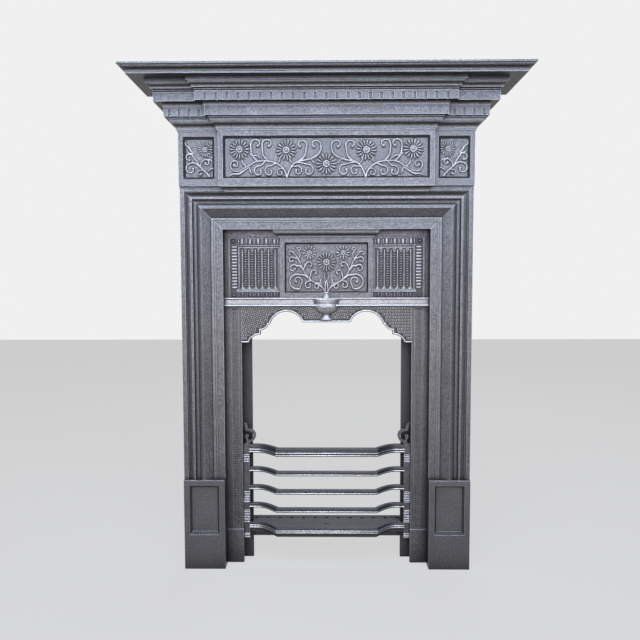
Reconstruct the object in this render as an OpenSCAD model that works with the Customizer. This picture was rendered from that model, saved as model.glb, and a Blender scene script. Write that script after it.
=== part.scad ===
// Cast iron combination fireplace: a mantel surround, an insert with a hood, and a lift-off fire front.
// Frame: origin on the hearth, on the centre line, in the plane of the wall.
// +X runs across, +Y goes into the wall, +Z is up. The front faces -Y.

/* [Overall] */
// Width over the two legs
body_w = 720; // [680:1:800]
// Depth of the plinth blocks, from the wall to their fronts
plinth_d = 78; // [74:1:100]
// Shelf overhang past the legs, at the front and at each end
shelf_overhang = 110; // [95:1:140]
// How far the centre of the frieze and cornice stands in front of the ends
break_front = 11; // [6:1:16]
// Width of the break-front centre at the frieze
centre_w = 522; // [470:1:560]
// Depth of the cheeks behind the plane of the wall
rear_depth = 188; // [170:1:230]
// Thickness of the cast walls and flanges
wall_t = 8; // [6:0.5:9]

/* [Heights] */
// Height of the plinth blocks
plinth_h = 230; // [190:1:270]
// Height of the jambs above the plinth blocks
jamb_h = 730; // [700:1:800]
// Height of the frieze
frieze_h = 131; // [115:1:160]
// Height of the bed moulding under the cornice
bed_h = 29.5; // [24:0.5:36]
// Height of the lower fascia of the cornice
lower_fascia_h = 29.5; // [26:0.5:36]
// Height of the upper fascia of the cornice
upper_fascia_h = 21; // [18:0.5:28]
// Height of the crown moulding over the upper fascia
crown_h = 27; // [24:0.5:34]
// Thickness of the mantel shelf
shelf_t = 21; // [18:0.5:28]

/* [Cornice] */
// Projection of the lower fascia past the frieze
lower_fascia_q = 27; // [24:0.5:32]
// Projection of the upper fascia past the frieze
upper_fascia_q = 46; // [42:0.5:52]
// Projection of the crown moulding past the frieze
crown_q = 62; // [58:0.5:70]
// Number of dentil slots in the centre fascia
centre_dentils = 23; // [15:2:29]
// Number of dentil slots in each side fascia
side_dentils = 4; // [2:1:6]
// Width of a dentil slot
dentil_w = 7.5; // [4:0.5:8]
// Height of a dentil slot
dentil_h = 16.5; // [10:0.5:17]
// Depth of a dentil slot
dentil_d = 3; // [2:0.5:5]
// Bare end of the centre fascia beside its outermost slot
dentil_end = 25.5; // [15:0.5:30]
// Bare end of a side fascia beside its outermost slot
side_dentil_end = 14.5; // [10:0.5:18]

/* [Frieze panels] */
// Border of the frieze blocks round the sunk panel, at the sides
frieze_border_x = 11; // [8:0.5:16]
// Border of the frieze blocks above the sunk panel
frieze_border_top = 12; // [9:0.5:18]
// Border of the frieze blocks below the sunk panel
frieze_border_foot = 17; // [10:0.5:22]
// Depth of the sunk panels in the frieze
frieze_sink = 8; // [5:0.5:10]
// Width of the bevel round a sunk panel
panel_bevel = 6; // [4:0.5:8]
// Radius of the daisies on the centre panel
daisy_r = 25; // [18:0.5:28]
// Radius of the daisy on an end block
end_daisy_r = 18; // [12:0.5:22]
// Height of the relief ornament
relief_t = 3; // [2:0.5:4.5]

/* [Architrave] */
// Width of the flat inner margin
inner_flat_w = 18; // [14:0.5:24]
// Width of the pair of small steps
steps_w = 9; // [6:0.5:12]
// Width of the broad roll
roll_w = 36; // [30:0.5:42]
// Width of the roll's rounded outer side, from its crest to the cove
roll_round_w = 13; // [9:0.5:18]
// Width of the cove
cove_w = 10; // [7:0.5:13]
// Width of the fillet outside the cove
fillet_w = 5; // [3:0.5:7]
// Width of the groove between the fillet and the splay
quirk_w = 3; // [2:0.5:5]
// Width of the splay
splay_w = 8; // [5:0.5:10]
// Width of the groove outside the splay
groove_w = 3; // [2:0.5:5]
// Width of the flat outer margin
margin_w = 11; // [8:0.5:16]
// Height of the inner margin's face over the wall
inner_flat_d = 64; // [60:0.5:68]
// Height of the roll's crest over the wall
roll_d = 76; // [73:0.5:78]
// Height of the outer margin's face over the wall
margin_d = 70; // [68:0.5:73]
// Depth of the grooves on both sides of the splay, under the outer margin's face
quirk_sink = 4; // [1:0.5:5]
// Height of the small moulding on the lintel, under the centre of the frieze
lintel_bed_h = 13; // [10:0.5:13]
// How far the foot of that moulding stays behind the face of the frieze's centre
lintel_bed_in = 13; // [8:0.5:16]

/* [Plinth panels] */
// Border round the sunk panel of a plinth block, at the sides
plinth_border_x = 14; // [10:0.5:20]
// Border above the sunk panel of a plinth block
plinth_border_top = 15; // [10:0.5:30]
// Border below the sunk panel of a plinth block
plinth_border_foot = 89; // [70:1:110]
// Depth of the sunk panel of a plinth block
plinth_sink = 9; // [5:0.5:10]

/* [Insert] */
// Distance from the wall to the face of the insert
insert_d = 38; // [34:0.5:42]
// Thickness of the insert's stiles and hood plate
insert_t = 7; // [6:0.5:8]
// Width of the insert between the inner edges of its stiles
mouth_w = 432; // [410:1:446]
// Width of the stile that lies hidden behind each jamb
stile_lap = 27; // [25:0.5:34]
// Height of the plain foot blocks
foot_h = 90.5; // [80:0.5:110]
// Height of the underside of the band moulding
band_z = 664.5; // [655:0.5:680]
// Height of the band moulding
band_h = 23; // [20:0.5:28]
// Width of the plain strip at each end of the arcaded panels
arcade_margin = 10; // [8:0.5:14]
// Width of the flower panel
flower_w = 234; // [200:1:260]
// Height of the small cornice over the flower panel
crest_h = 19.5; // [16:0.5:24]
// Projection of the small cornice past the flower panel
crest_q = 16; // [14:0.5:20]
// Width of the frame round the flower panel's field
flower_frame_w = 12; // [9:0.5:18]
// Depth of the flower panel's field
flower_sink = 7; // [4:0.5:8]
// Number of slots in an arcaded panel
arcade_slots = 5; // [3:1:7]
// Width of an arcade slot
arcade_slot_w = 9; // [6:0.5:11]
// Depth of an arcade slot
arcade_slot_d = 3; // [2:0.5:5]
// Width of the reeded border round the arcade
reed_band_w = 18; // [14:0.5:22]
// Spacing of the reeds in the border
reed_pitch = 6.6; // [5:0.2:9]

/* [Hood] */
// Height of the hood plate's lower edge beside the stiles
hood_foot_z = 573; // [560:1:580]
// Height of the flat part of the hood's edge at the centre
hood_lip_z = 625; // [620:0.5:628]
// Distance from a stile to the centre of the arch beside it
arch_inset = 115; // [114:0.5:122]
// Radius of the two arches in the hood's edge
arch_r = 44; // [38:0.5:46]
// Width of the bead along the hood's edge
rim_w = 5; // [4:0.5:6]
// Height of the bead along the hood's edge
rim_t = 3; // [2:0.5:4]

/* [Cheeks and throat] */
// Width of a cheek's flange that shows beside a standard
cheek_show = 6; // [3:0.5:12]
// Thickness of the cheeks
cheek_t = 7; // [6:0.5:9]
// Slope of the throat plate
throat_slope = 28; // [20:1:34]
// Height of the throat plate's front edge
throat_z = 690; // [680:1:710]
// Width of the opening in the throat plate
flue_w = 220; // [160:1:260]
// Length of the opening in the throat plate, along the slope
flue_l = 104; // [80:1:110]
// Radius of the hinge pin of the register flap
pin_r = 4; // [3:0.5:5]
// Running clearance round the hinge pin
pin_gap = 0.08; // [0.05:0.01:0.1]

/* [Fire front] */
// Gap between a standard and the stile beside it
front_gap = 1; // [0.5:0.1:4]
// Width of a standard
standard_w = 15.5; // [13:0.5:18]
// Thickness of a standard
standard_t = 12; // [9:0.5:12]
// Distance from the wall to the front of the standards
standard_d = 30; // [28:0.5:30.5]
// Height of the foot of the standards
standard_foot_z = 60; // [40:1:70]
// Height of the body of a standard
standard_h = 250; // [245:1:270]
// Height of the scroll on top of a standard
scroll_h = 56; // [48:1:64]
// How far the middle of the bars stands in front of their ends
bar_bulge = 37; // [30:0.5:45]
// Half width of the straight middle of the bars
bar_corner_x = 128; // [110:1:140]
// Half width at which the curve of a bar runs out
bar_end_x = 180; // [165:1:188]
// Thickness of the bars
bar_t = 11; // [8:0.5:12]
// Projection of the beads on the bars
bar_bead = 1.5; // [1:0.5:2.5]
// Height of the top bar
top_bar_h = 22; // [18:0.5:26]
// Height of the lower bars
bar_h = 12; // [9:0.5:15]
// Height of the top of the top bar
top_bar_z = 308; // [306:0.5:309]
// Spacing from the top of the top bar to the top of the second
first_pitch = 60; // [50:0.5:66]
// Spacing of the lower bars
bar_pitch = 47.5; // [44:0.5:50]
// Height of the top of the ledge
ledge_z = 101.5; // [98:0.5:104]
// Height of the ledge's moulded nose
ledge_nose_h = 24; // [18:0.5:26]
// Thickness of the ledge plate
ledge_t = 7; // [5:0.5:9]
// Distance that the fire front lifts off its brackets
front_lift = 30; // [26:1:40]

/* [Bottom grate] */
// Height of the top of the grate
grate_z = 63; // [60:0.5:64]
// Thickness of the grate
grate_t = 10; // [8:0.5:12]
// Depth of the grate from front to back
grate_l = 114; // [90:1:116]
// Number of slots in the grate
grate_slots = 13; // [9:1:17]

/* [Fixings] */
// Radius of the bolts
bolt_r = 4; // [3:0.5:4]
// Width across the flats of the bolt heads and nuts
bolt_af = 13; // [11:0.5:13]
// Radius of the holes in the wall-fixing lugs
lug_hole_r = 4.5; // [3.5:0.5:5.5]
// Height of the lower wall-fixing lugs
lug_z = 300; // [270:1:340]
// Spacing of the lower and upper wall-fixing lugs
lug_pitch = 500; // [460:1:520]
// Height of the lowest of the three screws that hold each cheek
cheek_bolt_low = 130; // [120:1:150]
// Spacing of the cheek screws
cheek_bolt_pitch = 235; // [220:1:240]

/* [Fits] */
// Gap between pieces that lift off or hang on each other
seat_gap = 0.2; // [0.1:0.05:0.4]
// Gap round a bolt in its clearance hole
bolt_gap = 0.5; // [0.3:0.1:0.8]
// Gap round a bolt in its tapped hole
tapped_gap = 0.05; // [0.02:0.01:0.1]
// Side gap of the hooks, tenons and the grate
side_gap = 1; // [0.5:0.1:1.5]

/* [Hidden] */

curve_n = 6;          // straight pieces in a quarter curve
eps = 1;              // how far a cutter runs past what it cuts
half_w = body_w / 2;
centre_half = centre_w / 2;
centre_d = plinth_d + break_front;
joint_z = plinth_h + jamb_h;
frieze_z = joint_z + frieze_h;
fascia_z = frieze_z + bed_h;
soffit_z = fascia_z + lower_fascia_h;
crown_z = soffit_z + upper_fascia_h;
shelf_z = crown_z + crown_h;
total_h = shelf_z + shelf_t;
frieze_field_h = frieze_h - frieze_border_foot - frieze_border_top;
frieze_mid_z = joint_z + frieze_border_foot + frieze_field_h / 2;
iron = [0.36, 0.36, 0.40];
pale_iron = [0.44, 0.44, 0.49];
dark_iron = [0.24, 0.24, 0.27];
steel = [0.50, 0.50, 0.52];

// architrave: t runs outwards from the opening's edge, d is the height over the wall
roll_t0 = inner_flat_w + steps_w;
cove_t0 = roll_t0 + roll_w;
fillet_t0 = cove_t0 + cove_w;
quirk_t0 = fillet_t0 + fillet_w;
splay_t0 = quirk_t0 + quirk_w;
groove_t0 = splay_t0 + splay_w;
margin_t0 = groove_t0 + groove_w;
jamb_w = margin_t0 + margin_w;
open_half = half_w - jamb_w;
lintel_z = joint_z - jamb_w;
return_t = wall_t * 0.75;
roll_base_d = inner_flat_d + 0.5;
roll_crest_t = cove_t0 - roll_round_w;
step_rise = 2.25;
cove_base_d = inner_flat_d + 2;
cove_flat_w = 1;
splay_d = margin_d + 1.5;
fillet_d = margin_d + 3;
quirk_d = margin_d - quirk_sink;
cavity_d = inner_flat_d - wall_t;

// insert
mouth_half = mouth_w / 2;
stile_half = open_half + stile_lap;
backplate_t = 7;
panel_back_d = insert_d - insert_t;
backplate_d = panel_back_d;
stile_back_d = panel_back_d;
insert_top_z = lintel_z + 28;
backplate_foot_z = band_z - 9;
insert_z = band_z + band_h;
arcade_d = insert_d + 3;
flower_d = insert_d + 6;
band_d = insert_d + 8;
urn_t = 8;
flower_half = flower_w / 2;
strip_x = mouth_half + 7.5;
strip_w = 18;
stile_bead_r = 2;
crest_z = lintel_z - crest_h;
arcade_half = open_half - arcade_margin;
flower_mid_z = (insert_z + crest_z) / 2;
flower_field = [flower_half - flower_frame_w, (crest_z - insert_z) / 2 - flower_frame_w];
panel_screw_x = arcade_half - reed_band_w / 2 - 4;
panel_screw_z = [insert_z + 5, lintel_z - 28];
panel_screw_r = 3;

// cheeks and throat
front_half = mouth_half - front_gap;
standard_in = front_half - standard_w;
cheek_half = standard_in - cheek_show;
return_x = mouth_half + 3;
cheek_out = return_x + cheek_t;
flange_d = 6;
ear_w = 20;
flange_top_z = backplate_foot_z - 6;
throat_t = 7;
throat_y = backplate_t - backplate_d + throat_t * sin(throat_slope);
throat_len = (rear_depth - throat_y - 2) / cos(throat_slope);
flue_s0 = 60;
hinge_s = flue_s0 - 16;
knuckle_r = pin_r * 2;
hinge_h = throat_t + knuckle_r + 0.5;
flap_t = 6;
flap_lap = 10;
flap_rib_h = 4;
flap_rib_s = flue_s0 + flue_l - hinge_s;
flap_rib_top = throat_t + seat_gap + flap_t + flap_rib_h - hinge_h;
hinge_y = throat_y + hinge_s * cos(throat_slope) - hinge_h * sin(throat_slope);
// open, the flap's ribs lean on the back of the insert's backing plate
flap_reach = hinge_y + backplate_d - backplate_t - seat_gap;
flap_open_a = acos(-flap_reach / norm([flap_rib_s, flap_rib_top])) - atan2(flap_rib_top, flap_rib_s);
flap_swing = flap_open_a - throat_slope;
knuckle_w = 24;
knuckle_x = flue_w / 2 - 34;
ear_t = 9;
pin_half = knuckle_x + knuckle_w + side_gap + ear_t + 2;
cheek_bolt_r = bolt_r - 1;
cheek_bolt_x = cheek_out + ear_w / 2 + 1;
cheek_bolt_z = [for (i = [0:2]) cheek_bolt_low + i * cheek_bolt_pitch];

// fire front
bar_end_d = standard_d - (standard_t - bar_t) / 2;
bar_mid_d = bar_end_d + bar_bulge;
standard_back_d = standard_d - standard_t;
standard_top_z = standard_foot_z + standard_h;
hook_z = [standard_foot_z + 60, standard_foot_z + standard_h - 40];
hook_t = 5;
hook_h = front_lift - 6;
hook_w = standard_w - 5;
cup_t = 4;
hook_x0 = standard_in + 2.5;
hook_back_d = flange_d + side_gap / 2;
tenon_r = 3.5;
tenon_l = 7;
rib_groups = [[3, 3], [43, 8], [96, 7], [202, 5]];
rib_pitch = 4.4;
scroll_t = 8;

grate_half = return_x - side_gap - 2;
grate_y = 4;
grate_lug_w = 14;
grate_lug_t = 12;

bolt_x = [half_w - 50, centre_half - 111];
bolt_d = 45;
head_h = 5.5;
flange_back_d = bolt_d - 20;
nut_h = 6.5;
shelf_screw_d = plinth_d + 24;
shelf_rim_q = 8;
screw_into = 12;
insert_bolt_x = open_half + 16;
insert_bolt_z = [plinth_h + 60, (plinth_h + lintel_z) / 2, lintel_z - 60];
boss_r = 9;
strap_l = 72;
strap_w = 24;
strap_t = 6;
strap_x = open_half + jamb_w / 2;
strap_z = lintel_z + jamb_w / 2;

// ---------- curves ----------

// quarter round that leaves point a along x and arrives at b along y
function ovolo(a, b) = [for (i = [0:curve_n]) let (u = 90 * i / curve_n)
    [a.x + (b.x - a.x) * sin(u), a.y + (b.y - a.y) * (1 - cos(u))]];

// quarter hollow that leaves point a along y and arrives at b along x
function cavetto(a, b) = [for (i = [0:curve_n]) let (u = 90 * i / curve_n)
    [a.x + (b.x - a.x) * (1 - cos(u)), a.y + (b.y - a.y) * sin(u)]];

// slope that hollows out towards its upper end
function splay(a, b) = [for (i = [0:curve_n]) let (u = i / curve_n)
    [a.x + (b.x - a.x) * u, a.y + (b.y - a.y) * (0.6 * u + 0.4 * u * u * u)]];

// hollow below and round above
function cyma(a, b) = let (m = (a + b) / 2) concat(cavetto(a, m), ovolo(m, b));

// bump of width w and height h that starts at a and runs along x
function bump(a, w, h) = [for (i = [0:2 * curve_n]) let (u = 90 * i / curve_n)
    [a.x + w * (1 - cos(u)) / 2, a.y + h * sin(u)]];

function arc(c, r, a0, a1, n = 2 * curve_n) = [for (i = [0:n]) let (u = a0 + (a1 - a0) * i / n)
    c + r * [cos(u), sin(u)]];

function mirror_x(p) = [for (i = [len(p) - 1:-1:0]) [-p[i].x, p[i].y]];

// ---------- helpers ----------

module at_both_sides() {
    children();
    mirror([1, 0, 0]) children();
}

// box given by its two corners
module slab(low, high) {
    translate(low) cube(high - low);
}

// extrudes an outline drawn in X and Z from y0 back to y1
module upright(y0, y1) {
    translate([0, y1, 0]) rotate([90, 0, 0]) linear_extrude(y1 - y0) children();
}

// extrudes an outline drawn in Y and Z from x0 to x1
module across(x0, x1) {
    translate([x0, 0, 0]) rotate([90, 0, 90]) linear_extrude(x1 - x0) children();
}

// block with mitred returns: prof lists [projection, z] from the bottom up
module mitred_block(half, front, prof, back = 0) {
    reach = half + prof[len(prof) - 1].x + 200;
    top = prof[len(prof) - 1].y;
    intersection() {
        across(-reach, reach)
            polygon(concat([for (p = prof) [-front - p.x, p.y]], [[-back, top], [-back, prof[0].y]]));
        upright(-reach, 0)
            polygon(concat([for (p = prof) [half + p.x, p.y]],
                mirror_x([for (p = prof) [half + p.x, p.y]])));
    }
}

// sunk panel with a bevelled edge, cut into a face at distance d from the wall
module sunk_panel(x0, x1, z0, z1, d, sink, bevel) {
    slope = bevel / sink;
    out = bevel + slope * eps;
    intersection() {
        translate([0, 0, z0 - 2 * out]) linear_extrude(z1 - z0 + 4 * out)
            polygon([[x0 - slope * eps, -d - eps], [x1 + slope * eps, -d - eps],
                [x1 - bevel, -d + sink], [x0 + bevel, -d + sink]]);
        across(x0 - 2 * out, x1 + 2 * out)
            polygon([[-d - eps, z0 - slope * eps], [-d - eps, z1 + slope * eps],
                [-d + sink, z1 - bevel], [-d + sink, z0 + bevel]]);
    }
}

// flat daisy of radius r round a domed button, standing on a face at distance d
module daisy(x, z, r, d, petals = 16) {
    translate([x, -d, z]) rotate([90, 0, 0]) {
        linear_extrude(relief_t)
            polygon([for (i = [0:2 * petals - 1]) let (u = 180 * i / petals, k = i % 2 == 0 ? r : r * 0.72)
                k * [cos(u), sin(u)]]);
        cylinder(r = r * 0.2, h = relief_t + 1.5);
    }
}

// open ring of relief round a volute
module volute(x, z, r, d, a0 = 0) {
    translate([x, -d, z]) rotate([90, 0, 0]) rotate([0, 0, a0]) {
        rotate_extrude(angle = 270) translate([r * 0.83, 0]) square([r * 0.27, relief_t]);
        cylinder(r = r * 0.35, h = relief_t);
    }
}

// relief on a panel whose field has its centre at c and the half sizes half:
// daisies as [x, z, radius in mm], volutes as [x, z, radius, turn], the rest as parts of the half sizes
module relief(c, half, d, daisies, volutes) {
    for (k = daisies)
        daisy(c.x + k.x * half.x, c.y + k.y * half.y, k.z, d);
    for (k = volutes)
        volute(c.x + k.x * half.x, c.y + k.y * half.y, k.z * min(half.x, half.y), d, k[3]);
}

module y_hole(x, z, r, y0, y1) {
    translate([x, y1, z]) rotate([90, 0, 0]) cylinder(r = r, h = y1 - y0);
}

module z_hole(x, y, r, z0, z1) {
    translate([x, y, z0]) cylinder(r = r, h = z1 - z0);
}

module hex_head(h) {
    cylinder(d = bolt_af / cos(30), h = h, $fn = 6);
}

// ---------- surround ----------

shelf_prof = concat(
    [[shelf_overhang - 15, shelf_z], [shelf_overhang - 15, shelf_z + 3.5],
        [shelf_overhang - 17, shelf_z + 3.5], [shelf_overhang - 17, shelf_z + 5]],
    cyma([shelf_overhang - 15, shelf_z + 5], [shelf_overhang - 4, total_h - 6]),
    [[shelf_overhang - 2, total_h - 6], [shelf_overhang, total_h - 4], [shelf_overhang, total_h]]);

module mantel_shelf() {
    color(pale_iron) difference() {
        mitred_block(half_w, plinth_d, shelf_prof);
        slab([-half_w - shelf_rim_q, -plinth_d - shelf_rim_q, shelf_z - eps],
            [half_w + shelf_rim_q, eps, total_h - wall_t]);
        at_both_sides() for (x = bolt_x)
            z_hole(x, -shelf_screw_d, bolt_r + tapped_gap, shelf_z - eps, shelf_z + screw_into + eps);
    }
}

cornice_prof = concat(
    [[2, frieze_z], [2, frieze_z + 4], [4, frieze_z + 4]],
    cyma([4, frieze_z + 5], [14, fascia_z - 8]),
    [[16, fascia_z - 8], [16, fascia_z - 5], [19, fascia_z - 3], [19, fascia_z],
        [lower_fascia_q, fascia_z], [lower_fascia_q, soffit_z - 7]],
    cavetto([lower_fascia_q + 1, soffit_z - 7], [lower_fascia_q + 5, soffit_z]),
    [[upper_fascia_q, soffit_z], [upper_fascia_q, crown_z], [upper_fascia_q - 2, crown_z],
        [upper_fascia_q - 2, crown_z + 2]],
    [for (p = bump([crown_z + 2, upper_fascia_q - 1], 5, 2)) [p.y, p.x]],
    [[upper_fascia_q + 4, crown_z + 7]],
    cyma([upper_fascia_q + 5, crown_z + 7], [crown_q - 3, shelf_z - 8]),
    [[crown_q, shelf_z - 8], [crown_q, shelf_z]]);

// hollow of the cornice at projection q, between two heights
module cornice_hollow(q, z0, z1) {
    slab([-half_w - q, -plinth_d - q, z0], [half_w + q, eps, z1]);
    slab([-centre_half - q, -centre_d - q, z0], [centre_half + q, eps, z1]);
}

module dentil_row(x0, x1, n, face_d, z) {
    step = (x1 - x0) / (n - 1);
    for (i = [0:n - 1]) {
        x = x0 + i * step;
        slab([x - dentil_w / 2, -face_d - eps, z - eps],
            [x + dentil_w / 2, -face_d + dentil_d, z + dentil_h]);
    }
}

module cornice() {
    centre_end = centre_half + upper_fascia_q - dentil_end;
    side_start = centre_half + lower_fascia_q + side_dentil_end;
    side_end = half_w + lower_fascia_q - side_dentil_end;
    color(pale_iron) difference() {
        union() {
            mitred_block(half_w, plinth_d, cornice_prof);
            mitred_block(centre_half, centre_d, cornice_prof);
        }
        slab([-half_w + wall_t, -flange_back_d, frieze_z - eps],
            [half_w - wall_t, eps, frieze_z + wall_t + eps]);
        cornice_hollow(-wall_t, frieze_z + wall_t, fascia_z);
        cornice_hollow(lower_fascia_q - wall_t - dentil_d, fascia_z - eps + wall_t, soffit_z);
        cornice_hollow(upper_fascia_q - wall_t - dentil_d, soffit_z - eps + wall_t, shelf_z - wall_t);
        slab([-half_w - shelf_rim_q, -plinth_d - shelf_rim_q, shelf_z - wall_t - eps],
            [half_w + shelf_rim_q, eps, shelf_z + eps]);
        cornice_hollow(-wall_t, fascia_z - eps, shelf_z - wall_t);
        dentil_row(-centre_end, centre_end, centre_dentils, centre_d + upper_fascia_q, soffit_z);
        at_both_sides()
            dentil_row(side_start, side_end, side_dentils, plinth_d + lower_fascia_q, fascia_z);
        at_both_sides() for (x = bolt_x) {
            z_hole(x, -bolt_d, bolt_r + bolt_gap, frieze_z - eps, frieze_z + wall_t + eps);
            z_hole(x, -shelf_screw_d, bolt_r + bolt_gap, shelf_z - wall_t - eps, shelf_z + eps);
        }
    }
}

// one frieze block from x0 to x1 with its face at distance d, hollow at the back from open_x0 to open_x1
module frieze_block(x0, x1, d, open_x0, open_x1) {
    difference() {
        slab([x0, -d, joint_z], [x1, 0, frieze_z]);
        slab([open_x0, -d + frieze_sink + wall_t, joint_z + wall_t], [open_x1, eps, frieze_z - wall_t]);
        sunk_panel(x0 + frieze_border_x, x1 - frieze_border_x, joint_z + frieze_border_foot,
            frieze_z - frieze_border_top, d, frieze_sink, panel_bevel);
    }
}

module frieze_centre() {
    floor_d = centre_d - frieze_sink;
    c = [0, frieze_mid_z];
    half = [centre_half - frieze_border_x, frieze_field_h / 2];
    color(pale_iron) difference() {
        union() {
            frieze_block(-centre_half, centre_half, centre_d, -centre_half - eps, centre_half + eps);
            relief(c, half, floor_d, [[0, -0.29, daisy_r]], []);
            at_both_sides()
                relief(c, half, floor_d, [[0.386, 0.35, daisy_r], [0.835, 0.39, daisy_r]],
                    [[0.17, -0.69, 0.18, 90], [0.27, -0.69, 0.18, 90], [0.45, -0.74, 0.18, 90],
                        [0.54, -0.67, 0.18, 90], [0.64, -0.69, 0.18, 90], [0.105, 0.63, 0.18, -90],
                        [0.235, 0.63, 0.18, -90], [0.54, 0.63, 0.18, -90], [0.645, 0.63, 0.18, -90]]);
        }
        frieze_bolt_holes(bolt_x[1]);
    }
}

module frieze_bolt_holes(x) {
    at_both_sides() {
        z_hole(x, -bolt_d, bolt_r + bolt_gap, joint_z - eps, joint_z + wall_t + eps);
        z_hole(x, -bolt_d, bolt_r + bolt_gap, frieze_z - wall_t - eps, frieze_z + eps);
    }
}

module frieze_end() {
    c = [(centre_half + half_w) / 2, frieze_mid_z];
    half = [(half_w - centre_half) / 2 - frieze_border_x, frieze_field_h / 2];
    floor_d = plinth_d - frieze_sink;
    color(pale_iron) difference() {
        union() {
            frieze_block(centre_half, half_w, plinth_d, centre_half - eps, half_w - wall_t);
            relief(c, half, floor_d, [[-0.41, 0.43, end_daisy_r]],
                [[0.52, -0.51, 0.31, 90], [-0.15, -0.67, 0.21, 90], [0.52, 0.08, 0.21, 0]]);
        }
        frieze_bolt_holes(bolt_x[0]);
    }
}

architrave_prof = concat(
    [[0, inner_flat_d], [inner_flat_w, inner_flat_d], [inner_flat_w, inner_flat_d + step_rise],
        [inner_flat_w + steps_w / 2, inner_flat_d + step_rise],
        [inner_flat_w + steps_w / 2, inner_flat_d + 2 * step_rise],
        [roll_t0, inner_flat_d + 2 * step_rise], [roll_t0, roll_base_d]],
    ovolo([roll_crest_t, roll_d], [cove_t0, cove_base_d]),
    ovolo([cove_t0 + cove_flat_w, cove_base_d], [fillet_t0, fillet_d]),
    [[quirk_t0, fillet_d], [quirk_t0, quirk_d]],
    splay([splay_t0, quirk_d], [groove_t0, splay_d]),
    [[groove_t0, quirk_d], [margin_t0, quirk_d], [margin_t0, margin_d], [jamb_w, margin_d]]);

// right-hand jamb below its mitre with the lintel
module jamb() {
    floor_z = plinth_h;
    color(iron) difference() {
        union() {
            difference() {
                intersection() {
                    translate([0, 0, floor_z]) linear_extrude(jamb_h)
                        polygon(concat([for (p = architrave_prof) [open_half + p.x, -p.y]],
                            [[half_w, 0], [open_half, 0]]));
                    upright(-2 * plinth_d, 0)
                        polygon([[open_half, floor_z], [half_w, floor_z], [half_w, joint_z],
                            [open_half, lintel_z]]);
                }
                slab([open_half + return_t, -cavity_d, floor_z + wall_t],
                    [half_w - wall_t, eps, joint_z + eps]);
                slab([open_half - eps, -insert_d, floor_z - eps], [stile_half + side_gap, eps, joint_z]);
                slab([open_half + return_t, -flange_back_d, floor_z - eps],
                    [half_w - wall_t, eps, floor_z + wall_t + eps]);
            }
            for (z = insert_bolt_z)
                y_hole(insert_bolt_x, z, boss_r, -cavity_d - 0.5, -insert_d);
            for (z = [lug_z, lug_z + lug_pitch])
                slab([half_w - wall_t - 30, -wall_t, z - 15], [half_w - wall_t + 0.5, 0, z + 15]);
        }
        for (z = insert_bolt_z)
            y_hole(insert_bolt_x, z, bolt_r + tapped_gap, -insert_d - 14, -insert_d + eps);
        for (z = [lug_z, lug_z + lug_pitch])
            y_hole(half_w - wall_t - 16, z, lug_hole_r, -wall_t - eps, eps);
        z_hole(bolt_x[0], -bolt_d, bolt_r + bolt_gap, floor_z - eps, floor_z + wall_t + eps);
        strap_hole(1);
    }
}

// tapped hole for a strap bolt, below (side 1) or above (side -1) the mitre
module strap_hole(side) {
    p = strap_point(side);
    y_hole(p.x, p.y, bolt_r + tapped_gap, -cavity_d - 6, -cavity_d + eps);
}

function strap_point(side) = [strap_x, strap_z] + side * strap_l / 4 * [1, -1] * sqrt(2) / 2;

module lintel() {
    foot_z = joint_z - lintel_bed_h;
    bed_prof = concat([[-lintel_bed_in, foot_z], [-lintel_bed_in, foot_z + 1.5]],
        cavetto([-lintel_bed_in + 1, foot_z + 1.5], [-2, joint_z - 2]), [[-1, joint_z - 2], [-1, joint_z]]);
    color(iron) difference() {
        union() {
            intersection() {
                across(-half_w, half_w)
                    polygon(concat([for (p = architrave_prof) [-p.y, lintel_z + p.x]],
                        [[0, joint_z], [0, lintel_z]]));
                upright(-2 * plinth_d, 0)
                    polygon([[-open_half, lintel_z], [open_half, lintel_z], [half_w, joint_z],
                        [-half_w, joint_z]]);
            }
            mitred_block(centre_half, centre_d, bed_prof, quirk_d - 1);
        }
        slab([-half_w - eps, -cavity_d, lintel_z + return_t], [half_w + eps, eps, joint_z - wall_t]);
        slab([-half_w, -insert_d, lintel_z - eps], [half_w, eps, lintel_z + return_t + eps]);
        at_both_sides() {
            for (x = bolt_x)
                z_hole(x, -bolt_d, bolt_r + bolt_gap, joint_z - wall_t - eps, joint_z + eps);
            strap_hole(-1);
        }
    }
}

module corner_strap() {
    color(dark_iron) difference() {
        translate([strap_x, -cavity_d + strap_t, strap_z]) rotate([90, 0, 0]) rotate([0, 0, -45])
            translate([-strap_l / 2, -strap_w / 2, 0]) cube([strap_l, strap_w, strap_t]);
        for (side = [-1, 1])
            y_hole(strap_point(side).x, strap_point(side).y, bolt_r + bolt_gap, -cavity_d - eps,
                -cavity_d + strap_t + eps);
    }
}

module plinth() {
    hollow_d = plinth_d - plinth_sink - wall_t;
    color(iron) difference() {
        intersection() {
            slab([open_half, -plinth_d, 0], [half_w, 0, plinth_h]);
            across(0, half_w)
                polygon([[-plinth_d, 0], [-plinth_d, plinth_h - 2], [-plinth_d + 2, plinth_h],
                    [0, plinth_h], [0, 0]]);
        }
        slab([open_half + return_t, -hollow_d, -eps], [half_w - wall_t, eps, plinth_h - wall_t]);
        slab([open_half - eps, -insert_d, -eps], [stile_half + side_gap, eps, plinth_h + eps]);
        slab([open_half, -flange_back_d, plinth_h - wall_t - eps],
            [half_w - wall_t, eps, plinth_h + eps]);
        sunk_panel(open_half + plinth_border_x, half_w - plinth_border_x, plinth_border_foot,
            plinth_h - plinth_border_top, plinth_d, plinth_sink, panel_bevel);
        z_hole(bolt_x[0], -bolt_d, bolt_r + bolt_gap, plinth_h - wall_t - eps, plinth_h + eps);
    }
}

// ---------- insert ----------

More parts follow.
